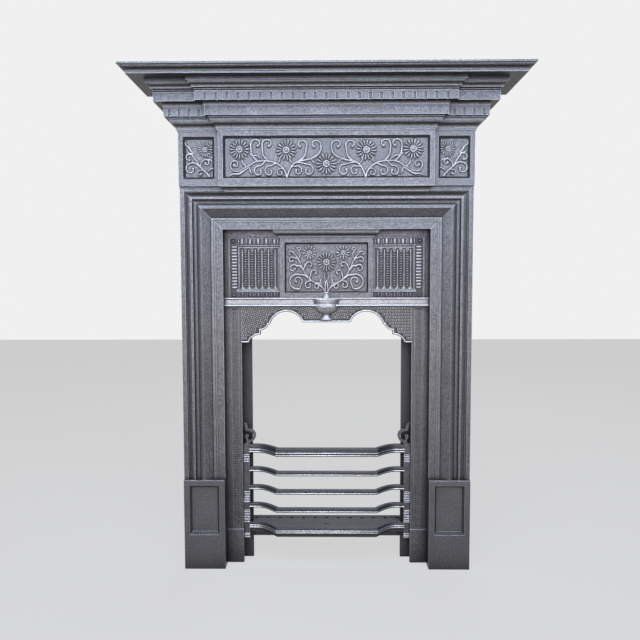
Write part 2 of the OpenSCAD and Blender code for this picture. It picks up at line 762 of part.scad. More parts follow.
module insert_backplate() {
    half = arcade_half + 8;
    color(dark_iron) difference() {
        slab([-half, -backplate_d, backplate_foot_z], [half, -backplate_d + backplate_t, insert_top_z]);
        at_both_sides() for (z = panel_screw_z)
            y_hole(panel_screw_x, z, panel_screw_r + bolt_gap, -backplate_d - eps,
                -backplate_d + backplate_t + eps);
    }
}

module stile() {
    color(iron) difference() {
        union() {
            upright(-insert_d, -stile_back_d)
                polygon([[mouth_half, foot_h], [stile_half, foot_h], [stile_half, insert_top_z],
                    [arcade_half, insert_top_z], [arcade_half, band_z], [mouth_half, band_z]]);
            translate([mouth_half + 3.5, -insert_d, foot_h])
                cylinder(r = stile_bead_r, h = band_z - foot_h);
        }
        slab([strip_x, -insert_d - eps, foot_h + 6], [strip_x + strip_w, -insert_d + 1.5, band_z - 2]);
        for (z = insert_bolt_z)
            y_hole(insert_bolt_x, z, bolt_r + bolt_gap, -insert_d - eps, -stile_back_d + eps);
        for (z = cheek_bolt_z)
            y_hole(cheek_bolt_x, z, cheek_bolt_r + tapped_gap, -stile_back_d - 4, -stile_back_d + eps);
    }
}

module foot_block() {
    foot_in = mouth_half - 1.5;
    proud = 3;
    color(iron) union() {
        slab([foot_in, -insert_d, 0], [stile_half, -stile_back_d, foot_h]);
        across(foot_in, open_half - seat_gap)
            polygon([[-insert_d - proud, 0], [-insert_d - proud, foot_h - proud], [-insert_d, foot_h],
                [-insert_d + eps, foot_h], [-insert_d + eps, 0]]);
    }
}

band_prof = concat([[-4, band_z], [0, band_z + 3]], [[0, band_z + 6]],
    [[-5, band_z + 7], [-5, insert_z - 5], [-3, insert_z - 4], [-3, insert_z]]);

module insert_band() {
    color(iron) union() {
        across(-open_half + seat_gap, open_half - seat_gap)
            polygon(concat([for (p = band_prof) [-band_d - p.x, p.y]],
                [[-insert_d, insert_z], [-insert_d, band_z]]));
        slab([-arcade_half, -insert_d - 0.5, band_z], [arcade_half, -panel_back_d, insert_z]);
    }
}

// right-hand arcaded panel: slots with round heads inside a border of reeds
module arcade_panel() {
    top_z = lintel_z;
    reed_d = 1.6;
    reed_gap = 2;
    field_x0 = flower_half + 11;
    field_x1 = arcade_half - reed_band_w - 16;
    slot_z0 = insert_z + reed_band_w + 8;
    slot_z1 = top_z - reed_band_w - 36;
    slot_step = (field_x1 - field_x0) / arcade_slots;
    reeds_x = floor((arcade_half - reed_band_w - flower_half - 6) / reed_pitch);
    reeds_z = floor((slot_z1 - slot_z0 + 14) / reed_pitch);
    color(pale_iron) difference() {
        slab([flower_half, -arcade_d, insert_z], [arcade_half, -panel_back_d, top_z]);
        slab([flower_half - eps, -arcade_d - eps, crest_z],
            [arcade_half + eps, -insert_d, top_z + eps]);
        for (i = [0:arcade_slots - 1]) {
            x = field_x0 + (i + 0.5) * slot_step;
            slab([x - arcade_slot_w / 2, -arcade_d - eps, slot_z0],
                [x + arcade_slot_w / 2, -arcade_d + arcade_slot_d, slot_z1]);
            y_hole(x, slot_z1, arcade_slot_w / 2, -arcade_d - eps, -arcade_d + arcade_slot_d);
        }
        for (i = [0:reeds_x - 1]) {
            x = flower_half + 6 + i * reed_pitch;
            slab([x, -arcade_d - eps, top_z - 38], [x + reed_gap, -arcade_d + reed_d, top_z - 22]);
            slab([x, -arcade_d - eps, insert_z + 3], [x + reed_gap, -arcade_d + reed_d, insert_z + 14]);
        }
        for (i = [0:reeds_z - 1]) {
            z = slot_z0 + i * reed_pitch;
            slab([arcade_half - reed_band_w - 1, -arcade_d - eps, z],
                [arcade_half - 5, -arcade_d + reed_d, z + reed_gap]);
        }
        for (z = panel_screw_z)
            y_hole(panel_screw_x, z, panel_screw_r + bolt_gap, -arcade_d - eps, -panel_back_d + eps);
    }
}

module flower_panel() {
    floor_d = flower_d - flower_sink;
    c = [0, flower_mid_z];
    color(pale_iron) union() {
        difference() {
            slab([-flower_half, -flower_d, insert_z], [flower_half, -panel_back_d, crest_z]);
            sunk_panel(-flower_half + flower_frame_w, flower_half - flower_frame_w,
                insert_z + flower_frame_w, crest_z - flower_frame_w, flower_d, flower_sink, 4);
        }
        relief(c, flower_field, floor_d, [[0, 0.24, 0.41 * flower_field.y]], []);
        at_both_sides()
            relief(c, flower_field, floor_d, [[0.39, 0.6, 0.25 * flower_field.y]],
                [[0.69, -0.57, 0.25, 90], [0.44, -0.67, 0.13, 90], [0.23, -0.67, 0.11, 90],
                    [0.8, 0, 0.14, 0], [0.76, 0.41, 0.13, 0], [0.27, -0.19, 0.11, 180]]);
    }
}

module insert_crest() {
    prof = concat([[crest_q - 13, crest_z], [crest_q - 13, crest_z + 3]],
        cyma([crest_q - 12, crest_z + 3], [crest_q - 4, lintel_z - 7.5]),
        [[crest_q - 2, lintel_z - 7.5], [crest_q - 2, lintel_z - 4], [crest_q, lintel_z - 3],
            [crest_q, lintel_z]]);
    color(pale_iron) union() {
        mitred_block(flower_half, flower_d, prof, insert_d);
        slab([-flower_half, -insert_d - 0.5, crest_z], [flower_half, -panel_back_d, lintel_z]);
    }
}

// outline of the urn's right half over the top of the band, from the top down
urn_half = [[10, 14], [11.5, 13], [11.5, 11.5], [8, 10.5], [8, 8], [10.5, 4], [14, 0], [14, -2],
    [36, -2.5], [36, -6.5], [33.5, -7.5], [33.5, -11], [32.5, -13.5], [32.5, -25], [27.6, -26.3],
    [25.4, -31], [21.4, -35.2], [16.1, -38.6], [9.5, -41.5], [9.5, -45.5], [12, -49], [16, -53],
    [18.5, -55], [18.5, -56.5]];

module urn() {
    pts = [for (p = urn_half) [p.x, p.y + insert_z]];
    front = band_d + urn_t;
    color(pale_iron) intersection() {
        upright(-front, 0) polygon(concat(pts, mirror_x(pts)));
        across(-60, 60)
            polygon([[-front, insert_z + 30], [-front, insert_z - 100], [-insert_d, insert_z - 100],
                [-insert_d, band_z], [-band_d, band_z], [-band_d, insert_z + 30]]);
    }
}

// right half of the hood's cut edge from the centre out, moved by e into the plate:
// an arch, a lobe that hangs beside it, a step down and a quarter round to the stile
arch_rise = 17;
arch_c = [mouth_half - arch_inset, hood_lip_z - arch_rise];
lobe_c = [mouth_half - 46.5, hood_lip_z + 3];
lobe_r = 24;
tail_r = 33;
tail_c = [mouth_half - 49, hood_foot_z - 12];
link_a = atan2(lobe_c.y - arch_c.y, lobe_c.x - arch_c.x);
function hood_edge(e) = let (step_x = tail_c.x + e) concat(
    arc(arch_c, arch_r + e, 180 - asin((arch_rise + e) / (arch_r + e)), link_a, 3 * curve_n),
    arc(lobe_c, lobe_r - e, link_a + 180, 270 + asin((step_x - lobe_c.x) / (lobe_r - e)), curve_n),
    arc(tail_c, tail_r + e, acos(e / (tail_r + e)),
        asin((hood_foot_z + e - tail_c.y) / (tail_r + e)), curve_n),
    [[mouth_half - 1, hood_foot_z + e]]);

module hood_plate() {
    edge = hood_edge(0);
    rim = hood_edge(rim_w);
    color(iron) union() {
        upright(-insert_d, -panel_back_d)
            polygon(concat([[mouth_half, band_z], [-mouth_half, band_z], [-mouth_half, hood_foot_z]],
                mirror_x(edge), edge, [[mouth_half, hood_foot_z]]));
        upright(-insert_d - rim_t, -insert_d + 1)
            polygon(concat(mirror_x(edge), edge, [for (i = [len(rim) - 1:-1:0]) rim[i]],
                [for (p = rim) [-p.x, p.y]]));
    }
}

module cheek() {
    rear_z = throat_z + (rear_depth - throat_y) * tan(throat_slope);
    color(dark_iron) difference() {
        union() {
            across(return_x, cheek_out)
                polygon([[-stile_back_d, 0], [rear_depth, 0], [rear_depth, rear_z], [throat_y, throat_z],
                    [backplate_t - backplate_d, throat_z], [backplate_t - backplate_d, backplate_foot_z],
                    [-stile_back_d, backplate_foot_z]]);
            slab([cheek_half, -flange_d, 0], [return_x + 0.5, 0, flange_top_z]);
            for (z = cheek_bolt_z)
                slab([cheek_out - 0.5, -stile_back_d, z - 15],
                    [cheek_out + ear_w, -stile_back_d + cheek_t, z + 15]);
            for (z = hook_z) hook_cup(z);
            for (y = [grate_y + 14, grate_y + grate_l - 14 - grate_lug_w])
                slab([return_x - grate_lug_t, y, grate_z - grate_t - seat_gap - 12],
                    [return_x + 0.5, y + grate_lug_w, grate_z - grate_t - seat_gap]);
        }
        for (z = cheek_bolt_z)
            y_hole(cheek_bolt_x, z, cheek_bolt_r + bolt_gap, -stile_back_d - eps,
                -stile_back_d + cheek_t + eps);
    }
}

// open cup on the flange that takes a hook of the fire front
module hook_cup(z) {
    cup_back = -flange_d + 0.5;
    cup_front = -hook_back_d - hook_t - side_gap / 2 - cup_t;
    x0 = hook_x0 - side_gap;
    x1 = hook_x0 + hook_w + side_gap;
    difference() {
        slab([x0 - cup_t, cup_front, z], [x1 + 1.5, cup_back, z + hook_h]);
        slab([x0, cup_front + cup_t, z + cup_t], [x1, -flange_d, z + hook_h + eps]);
    }
}

// ---------- throat and register flap ----------

// places children in the throat plate's own frame: X across, Y up the slope, Z out of it
module on_slope() {
    translate([0, throat_y, throat_z]) rotate([throat_slope, 0, 0]) children();
}

module throat_plate() {
    color(dark_iron) on_slope() difference() {
        union() {
            slab([-cheek_out, 0, 0], [cheek_out, throat_len, throat_t]);
            at_both_sides() for (x = [knuckle_x - side_gap - ear_t, knuckle_x + knuckle_w + side_gap])
                hinge_ear(x, ear_t);
        }
        slab([-flue_w / 2, flue_s0, -eps], [flue_w / 2, flue_s0 + flue_l, throat_t + eps]);
        rotate([0, 90, 0]) translate([-hinge_h, hinge_s, -flue_w])
            cylinder(r = pin_r + pin_gap, h = 2 * flue_w);
    }
}

module hinge_ear(x, w) {
    slab([x, hinge_s - knuckle_r + 1, throat_t - 0.5], [x + w, hinge_s + knuckle_r - 1, hinge_h]);
    translate([x, hinge_s, hinge_h]) rotate([0, 90, 0]) cylinder(r = knuckle_r - 1, h = w);
}

module flap_pin() {
    color(steel) on_slope() translate([-pin_half, hinge_s, hinge_h]) rotate([0, 90, 0])
        cylinder(r = pin_r, h = 2 * pin_half);
}

// the flap as it lies shut on the throat plate
module flap_shut() {
    x1 = flue_w / 2 + flap_lap;
    difference() {
        union() {
            slab([-x1, hinge_s + knuckle_r, throat_t + seat_gap],
                [x1, flue_s0 + flue_l + flap_lap, throat_t + seat_gap + flap_t]);
            at_both_sides() {
                translate([knuckle_x, hinge_s, hinge_h]) rotate([0, 90, 0])
                    cylinder(r = knuckle_r, h = knuckle_w);
                slab([knuckle_x, hinge_s + 1, hinge_h - knuckle_r + 1],
                    [knuckle_x + knuckle_w, hinge_s + knuckle_r + 4, hinge_h - 1]);
            }
            for (x = [-x1 / 2, 0, x1 / 2])
                slab([x - 3, hinge_s + knuckle_r + 3, throat_t + seat_gap + flap_t - 0.5],
                    [x + 3, hinge_s + flap_rib_s, hinge_h + flap_rib_top]);
        }
        at_both_sides() translate([knuckle_x - eps, hinge_s, hinge_h]) rotate([0, 90, 0])
            cylinder(r = pin_r + pin_gap, h = knuckle_w + 2 * eps);
    }
}

module register_flap() {
    color(dark_iron) on_slope() translate([0, hinge_s, hinge_h]) rotate([flap_swing, 0, 0])
        translate([0, -hinge_s, -hinge_h]) flap_shut();
}

// ---------- fire front ----------

// centre line of a bar's curved end, u from 0 at the corner to 1 at the run-out
function bar_point(u) = [bar_corner_x + (bar_end_x - bar_corner_x) * u,
    -bar_mid_d + bar_bulge * sin(90 * u)];
function bar_slope(u) = atan2(bar_bulge * PI / 2 * cos(90 * u), bar_end_x - bar_corner_x);
function bar_side(u, e) = bar_point(u) + e * [sin(bar_slope(u)), -cos(bar_slope(u))];

// right half of a bar's edge, moved forward by e from the front line
function bar_half(e) = let (a = bar_slope(0) / 2) concat(
    [bar_point(0) + e / cos(a) * [sin(a), -cos(a)]],
    [for (i = [1:curve_n]) bar_side(i / curve_n, e)],
    [[standard_in, -bar_end_d - e]]);
function bar_edge(e) = concat(mirror_x(bar_half(e)), bar_half(e));
function bar_band(e0, e1) = let (b = bar_edge(e1)) concat(bar_edge(e0), [for (i = [len(b) - 1:-1:0]) b[i]]);

// band of a bar between two heights, from e behind its face to e1 in front of it
module bar_layer(z0, z1, e1) {
    translate([0, 0, z0]) linear_extrude(z1 - z0) polygon(bar_band(e1, -bar_t));
}

module bar_tenons(z, r) {
    at_both_sides() translate([standard_in - eps, -bar_end_d + bar_t / 2, z]) rotate([0, 90, 0])
        cylinder(r = r, h = tenon_l + eps);
}

function bar_top(i) = i == 0 ? top_bar_z : top_bar_z - first_pitch - (i - 1) * bar_pitch;
function bar_height(i) = i == 0 ? top_bar_h : bar_h;
function bar_mid(i) = bar_top(i) - bar_height(i) / 2;

module fire_bar(i) {
    top = bar_top(i);
    foot = top - bar_height(i);
    color(iron) union() {
        bar_layer(foot, top, 0);
        bar_layer(foot + 1.5, foot + 5.5, bar_bead);
        if (i == 0) bar_layer(foot + 7.5, foot + 11.5, bar_bead);
        bar_tenons(bar_mid(i), tenon_r);
    }
}

module fire_ledge() {
    back = bar_edge(-bar_t);
    nose_z = ledge_z - ledge_nose_h;
    color(iron) union() {
        translate([0, 0, ledge_z - ledge_t]) linear_extrude(ledge_t)
            polygon(concat(bar_edge(0), [[standard_in, -standard_back_d],
                [cheek_half - side_gap, -standard_back_d], [cheek_half - side_gap, 0],
                [-cheek_half + side_gap, 0],
                [-cheek_half + side_gap, -standard_back_d], [-standard_in, -standard_back_d]]));
        bar_layer(nose_z, ledge_z - ledge_t + 0.5, -3);
        bar_layer(nose_z + 6, ledge_z - 2, 0);
        bar_layer(nose_z + 9, nose_z + 12.5, bar_bead);
        bar_layer(nose_z + 14, nose_z + 17.5, bar_bead);
        bar_tenons(ledge_z - ledge_nose_h / 2, tenon_r);
    }
}

module standard() {
    color(pale_iron) difference() {
        union() {
            slab([standard_in, -standard_d, standard_foot_z],
                [front_half, -standard_back_d, standard_top_z]);
            for (g = rib_groups) for (i = [0:g[1] - 1])
                slab([standard_in, -standard_d - 1, standard_foot_z + g[0] + i * rib_pitch],
                    [front_half, -standard_d + 0.5, standard_foot_z + g[0] + i * rib_pitch + 2.4]);
            upright(1 - standard_d, scroll_t - standard_d + 1) scroll_outline();
            for (z = hook_z) standard_hook(z);
        }
        for (i = [0:3]) tenon_hole(bar_mid(i));
        tenon_hole(ledge_z - ledge_nose_h / 2);
    }
}

// C-scroll on top of a standard: a stem, the curl with a button in it, and a leaf tip
module scroll_outline() {
    r = scroll_h * 0.32;
    c = [standard_in + 1.5, standard_top_z + scroll_h * 0.375];
    tip_z = standard_top_z + scroll_h;
    polygon(concat(arc(c, r, 62, 285, 3 * curve_n), arc(c, r - 6, 285, 75, 3 * curve_n)));
    polygon([[c.x - 1, standard_top_z - 1], [c.x + 8, standard_top_z - 1], [c.x + 8, standard_top_z + 3],
        [c.x + 3, c.y - r + 3], [c.x - 4, c.y - r + 3]]);
    polygon([[c.x + 1, c.y + r - 4], [c.x + 8, c.y + r - 5], [c.x + 12, tip_z], [c.x + 5, tip_z - 4]]);
    polygon([[c.x + 1, c.y - r + 3], [c.x + 5, c.y - r + 3], [c.x + 10, c.y - 2], [c.x + 4, c.y - 2]]);
    translate(c + [5, -1]) circle(r = 4.5);
}

module tenon_hole(z) {
    translate([standard_in - eps, -bar_end_d + bar_t / 2, z]) rotate([0, 90, 0])
        cylinder(r = tenon_r + pin_gap, h = tenon_l + 1 + eps);
}

// hook behind a standard that drops into a cup on the cheek
module standard_hook(z) {
    neck_z = z + hook_h + seat_gap;
    slab([hook_x0, -standard_back_d - 0.5, neck_z], [hook_x0 + hook_w, -hook_back_d, neck_z + 7]);
    slab([hook_x0, -hook_back_d - hook_t, z + cup_t + seat_gap],
        [hook_x0 + hook_w, -hook_back_d, neck_z + 7]);
}

module bottom_grate() {
    y1 = grate_y + grate_l;
    margin = 14;
    slot_w = 8;
    step = (2 * grate_half - 2 * margin - slot_w) / (grate_slots - 1);
    color(dark_iron) difference() {
        slab([-grate_half, grate_y, grate_z - grate_t], [grate_half, y1, grate_z]);
        for (i = [0:grate_slots - 1])
            slab([-grate_half + margin + i * step, grate_y + margin, grate_z - grate_t - eps],
                [-grate_half + margin + i * step + slot_w, y1 - margin, grate_z + eps]);
    }
}

// ---------- fixings ----------

module joint_places() {
    at_both_sides() {
        translate([bolt_x[0], -bolt_d, plinth_h]) children();
        for (x = bolt_x, z = [joint_z, frieze_z]) translate([x, -bolt_d, z]) children();
    }
}

module joint_bolts() {
    color(steel) joint_places() {
        translate([0, 0, -wall_t - head_h]) hex_head(head_h);
        translate([0, 0, -wall_t - 0.5]) cylinder(r = bolt_r, h = 2 * wall_t + nut_h + 2.5);
    }
}

module joint_nuts() {
    color(steel) joint_places() translate([0, 0, wall_t]) difference() {
        hex_head(nut_h);
        translate([0, 0, -eps]) cylinder(r = bolt_r + tapped_gap, h = nut_h + 2 * eps);
    }
}

module shelf_screws() {
    color(steel) at_both_sides() for (x = bolt_x) translate([x, -shelf_screw_d, shelf_z - wall_t]) {
        translate([0, 0, -head_h]) hex_head(head_h);
        translate([0, 0, -0.5]) cylinder(r = bolt_r, h = wall_t + screw_into + 0.5);
    }
}

// bolt along Y with its head's underside at y, entering towards the front
module back_bolt(x, y, z, r, grip) {
    translate([x, y, z]) rotate([90, 0, 0]) {
        translate([0, 0, -head_h]) hex_head(head_h);
        translate([0, 0, -0.5]) cylinder(r = r, h = grip + 0.5);
    }
}

module strap_bolts() {
    color(steel) at_both_sides() for (side = [-1, 1])
        back_bolt(strap_point(side).x, -cavity_d + strap_t, strap_point(side).y, bolt_r, strap_t + 5);
}

module insert_bolts() {
    color(steel) at_both_sides() for (z = insert_bolt_z)
        back_bolt(insert_bolt_x, -stile_back_d, z, bolt_r, insert_t + 12);
}

module cheek_bolts() {
    color(steel) at_both_sides() for (z = cheek_bolt_z)
        back_bolt(cheek_bolt_x, -stile_back_d + cheek_t, z, cheek_bolt_r, cheek_t + 3.5);
}

// domed screws at the corners of the arcaded panels
module panel_screws() {
    color(iron) at_both_sides() for (z = panel_screw_z)
        translate([panel_screw_x, -arcade_d, z]) rotate([90, 0, 0]) {
            intersection() {
                translate([0, 0, -2]) sphere(r = 5.4);
                cylinder(r = 6, h = 6);
            }
            translate([0, 0, -arcade_d + panel_back_d - backplate_t])
                cylinder(r = panel_screw_r, h = arcade_d - panel_back_d + backplate_t + 0.5);
        }
}

mantel_shelf();
cornice();
frieze_centre();
mirror([1, 0, 0]) frieze_end();  // frieze_end_left
frieze_end();  // frieze_end_right
lintel();
mirror([1, 0, 0]) jamb();  // jamb_left
jamb();  // jamb_right
mirror([1, 0, 0]) plinth();  // plinth_left
plinth();  // plinth_right
mirror([1, 0, 0]) corner_strap();  // corner_strap_left
corner_strap();  // corner_strap_right
insert_backplate();
mirror([1, 0, 0]) stile();  // stile_left
stile();  // stile_right
mirror([1, 0, 0]) foot_block();  // foot_block_left
foot_block();  // foot_block_right
insert_band();
mirror([1, 0, 0]) arcade_panel();  // arcade_panel_left
arcade_panel();  // arcade_panel_right
flower_panel();
insert_crest();
urn();
hood_plate();
mirror([1, 0, 0]) cheek();  // cheek_left
cheek();  // cheek_right
throat_plate();
flap_pin();
register_flap();
mirror([1, 0, 0]) standard();  // standard_left
standard();  // standard_right
fire_bar(0);  // fire_bar_1
fire_bar(1);  // fire_bar_2
fire_bar(2);  // fire_bar_3
fire_bar(3);  // fire_bar_4
fire_ledge();
bottom_grate();
joint_bolts();
joint_nuts();
shelf_screws();
strap_bolts();
insert_bolts();
cheek_bolts();
panel_screws();
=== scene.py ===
"""Cast iron combination fireplace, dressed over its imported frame."""
import logging
import math
from dataclasses import dataclass, field
from enum import Enum
from typing import ClassVar

import bmesh
import bpy
from mathutils import Matrix, Vector


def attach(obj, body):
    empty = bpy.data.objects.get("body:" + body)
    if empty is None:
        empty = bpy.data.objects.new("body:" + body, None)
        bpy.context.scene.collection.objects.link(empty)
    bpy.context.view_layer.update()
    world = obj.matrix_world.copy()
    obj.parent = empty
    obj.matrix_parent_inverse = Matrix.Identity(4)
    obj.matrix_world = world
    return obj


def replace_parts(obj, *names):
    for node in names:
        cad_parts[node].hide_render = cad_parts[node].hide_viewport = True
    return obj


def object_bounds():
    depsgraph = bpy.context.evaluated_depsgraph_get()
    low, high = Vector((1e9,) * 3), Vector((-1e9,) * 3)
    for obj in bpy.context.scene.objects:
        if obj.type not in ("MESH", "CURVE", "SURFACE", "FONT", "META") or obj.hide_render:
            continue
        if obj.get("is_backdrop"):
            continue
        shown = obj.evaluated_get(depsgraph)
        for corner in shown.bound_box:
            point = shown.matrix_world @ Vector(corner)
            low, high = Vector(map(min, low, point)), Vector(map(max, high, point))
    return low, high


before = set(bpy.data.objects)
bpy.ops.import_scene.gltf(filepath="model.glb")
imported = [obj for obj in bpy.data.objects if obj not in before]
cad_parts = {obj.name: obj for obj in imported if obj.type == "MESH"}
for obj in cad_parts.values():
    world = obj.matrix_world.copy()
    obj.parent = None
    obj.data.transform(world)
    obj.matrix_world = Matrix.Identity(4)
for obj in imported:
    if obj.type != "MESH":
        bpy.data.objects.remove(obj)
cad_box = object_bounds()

Point2 = tuple[float, float]
Point3 = tuple[float, float, float]
Ring = list[Point3]

MM = 0.001
SAME_PLACE = 2e-6
FLAT_TURN = math.radians(0.6)
RELIEF_TURN = 50.0
log = logging.getLogger("fireplace")


# ---------- curves, in millimetres ----------

def round_angles(count: int) -> list[float]:
    """Angles evenly spaced round a circle, in radians."""
    return [math.tau * k / count for k in range(count)]


def arc(centre: Point2, radius: float, start: float, end: float, count: int = 12) -> list[Point2]:
    """Points on a circle.

    Args:
        centre: centre of the circle.
        radius: its radius.
        start: first angle in degrees.
        end: last angle in degrees.
        count: number of straight pieces.

    Returns:
        The points from start to end.
    """
    angles = [math.radians(start + (end - start) * i / count) for i in range(count + 1)]
    return [(centre[0] + radius * math.cos(a), centre[1] + radius * math.sin(a)) for a in angles]


def curl(centre: Point2, radius: float, start: float, end: float, inner: float = 0.34) -> list[Point2]:
    """Points on a spiral that closes in on its centre.

    Args:
        centre: eye of the curl.
        radius: radius where the curl starts.
        start: first angle in degrees.
        end: last angle in degrees.
        inner: last radius as a part of the first.

    Returns:
        The points from the outside to the inside.
    """
    count = max(6, round(abs(end - start) / 28))
    points = []
    for i in range(count + 1):
        part = i / count
        reach = radius * (1 - (1 - inner) * part)
        angle = math.radians(start + (end - start) * part)
        points.append((centre[0] + reach * math.cos(angle), centre[1] + reach * math.sin(angle)))
    return points


def smooth(points: list[Point2], steps: int = 5) -> list[Point2]:
    """Runs a smooth curve through a few points.

    Args:
        points: the points that it passes through.
        steps: number of straight pieces between two of them.

    Returns:
        The points of the smooth curve.
    """
    ends = [points[0], *points, points[-1]]
    made: list[Point2] = []
    for a, b, c, d in zip(ends, ends[1:], ends[2:], ends[3:]):
        for i in range(steps):
            t = i / steps
            made.append(tuple(
                0.5 * (2 * b[k] + (c[k] - a[k]) * t + (2 * a[k] - 5 * b[k] + 4 * c[k] - d[k]) * t * t
                       + (3 * b[k] - a[k] - 3 * c[k] + d[k]) * t ** 3) for k in (0, 1)))
    made.append(points[-1])
    return made


# ---------- meshes ----------

class Shells:
    """Collects closed shells in millimetres and turns them into one mesh."""

    def __init__(self) -> None:
        """Starts with no shell."""
        self.verts: Ring = []
        self.faces: list[tuple[int, ...]] = []

    def skin(self, rings: list[Ring]) -> None:
        """Joins rings of equal length into a closed shell.

        Args:
            rings: closed rings of points, one after the other; the first and last are capped.
        """
        base, count = len(self.verts), len(rings[0])
        for ring in rings:
            self.verts.extend(ring)
        for i in range(len(rings) - 1):
            low, high = base + i * count, base + (i + 1) * count
            for j in range(count):
                k = (j + 1) % count
                self.faces.append((low + j, low + k, high + k, high + j))
        self.faces.append(tuple(base + j for j in reversed(range(count))))
        self.faces.append(tuple(base + (len(rings) - 1) * count + j for j in range(count)))

    def box(self, low: Point3, high: Point3) -> None:
        """Adds a box given by its lowest and highest corners."""
        self.skin([[(low[0], low[1], z), (high[0], low[1], z), (high[0], high[1], z),
                    (low[0], high[1], z)] for z in (low[2], high[2])])

    def upright(self, outline: list[Point2], front: float, back: float) -> None:
        """Adds an outline drawn in X and Z, as deep as from front to back along Y."""
        self.skin([[(x, y, z) for x, z in outline] for y in (front, back)])

    def flat(self, outline: list[Point2], low: float, high: float) -> None:
        """Adds an outline drawn in X and Y, as high as from low to high along Z."""
        self.skin([[(x, y, z) for x, y in outline] for z in (low, high)])

    def lathe(self, centre: Point2, profile: list[Point2], count: int = 20) -> None:
        """Adds a turned form that stands on the XY plane.

        Args:
            centre: its axis in X and Y.
            profile: radius and height from the foot up.
            count: number of sides.
        """
        thin = 0.004
        self.skin([[(centre[0] + max(r, thin) * math.cos(a), centre[1] + max(r, thin) * math.sin(a), h)
                    for a in round_angles(count)] for r, h in profile])

    def rod(self, ends: Point2, middle: Point2, radii: Point2, sides: int) -> None:
        """Adds a round rod that lies along X.

        Args:
            ends: X of its two ends.
            middle: Y and Z of its axis.
            radii: its radius along Y and along Z.
            sides: number of sides.
        """
        self.skin([[(x, middle[0] + radii[0] * math.cos(a), middle[1] + radii[1] * math.sin(a))
                    for a in round_angles(sides)] for x in ends])

    def mesh(self, name: str) -> bpy.types.Mesh:
        """Makes the mesh, in metres and with its faces pointing outwards.

        Args:
            name: the mesh's name.

        Returns:
            The new mesh.
        """
        mesh = bpy.data.meshes.new(name)
        mesh.from_pydata([tuple(c * MM for c in v) for v in self.verts], [], self.faces)
        work = bmesh.new()
        work.from_mesh(mesh)
        bmesh.ops.recalc_face_normals(work, faces=work.faces)
        work.to_mesh(mesh)
        work.free()
        return mesh


def object_of(mesh: bpy.types.Mesh) -> bpy.types.Object:
    """Links a new object that shows a mesh.

    Args:
        mesh: the mesh.

    Returns:
        The object, at the origin.
    """
    piece = bpy.data.objects.new(mesh.name, mesh)
    bpy.context.scene.collection.objects.link(piece)
    return piece


def settle(piece: bpy.types.Object) -> bpy.types.Object:
    """Turns a piece's modifiers into plain mesh.

    Args:
        piece: an object with modifiers.

    Returns:
        The same object with none.
    """
    bpy.context.view_layer.update()
    graph = bpy.context.evaluated_depsgraph_get()
    mesh = bpy.data.meshes.new_from_object(piece.evaluated_get(graph))
    piece.modifiers.clear()
    old, piece.data = piece.data, mesh
    bpy.data.meshes.remove(old)
    mesh.name = piece.name
    return piece


def shade(piece: bpy.types.Object, angle: float = 34.0) -> bpy.types.Object:
    """Shades a piece smooth, but for its sharp edges.

    Args:
        piece: the object.
        angle: edges sharper than this, in degrees, stay sharp.

    Returns:
        The same object.
    """
    piece.data.shade_smooth()
    piece.data.set_sharp_from_angle(angle=math.radians(angle))
    return piece


def ease(piece: bpy.types.Object, width: float, segments: int = 2, angle: float = 27.0) -> bpy.types.Object:
    """Rounds a casting's arrises, as sand moulds and polishing leave them.

    Args:
        piece: the object.
        width: width of the rounding in millimetres.
        segments: pieces across the rounding.
        angle: edges flatter than this stay.

    Returns:
        The same object as plain mesh.
    """
    piece.data.shade_smooth()
    bevel = piece.modifiers.new("arris", "BEVEL")
    bevel.width = width * MM
    bevel.segments = segments
    bevel.limit_method = "ANGLE"
    bevel.angle_limit = math.radians(angle)
    weighted = piece.modifiers.new("flats", "WEIGHTED_NORMAL")
    weighted.mode = "FACE_AREA"
    weighted.weight = 100
    return settle(piece)


def turn_out(piece: bpy.types.Object, floor: float, shift: Point2 = (0.0, 0.0)) -> bpy.types.Object:
    """Stands relief drawn flat (across, up, out) on an upright face that looks to -Y.

    Args:
        piece: the relief.
        floor: Y of the face in millimetres.
        shift: where the drawing's zero goes, in X and Z.

    Returns:
        The same object.
    """
    piece.data.transform(Matrix.Translation((shift[0] * MM, floor * MM, shift[1] * MM))
                         @ Matrix.Rotation(math.pi / 2, 4, "X"))
    return piece


def mirrored(name: str, piece: bpy.types.Object) -> bpy.types.Object:
    """Makes the left-hand fellow of a right-hand piece.

    Args:
        name: the new piece's name.
        piece: the right-hand piece.

    Returns:
        The new piece, with the same finish.
    """
    mesh = piece.data.copy()
    mesh.name = name
    mesh.transform(Matrix.Diagonal((-1, 1, 1, 1)))
    mesh.flip_normals()
    return object_of(mesh)


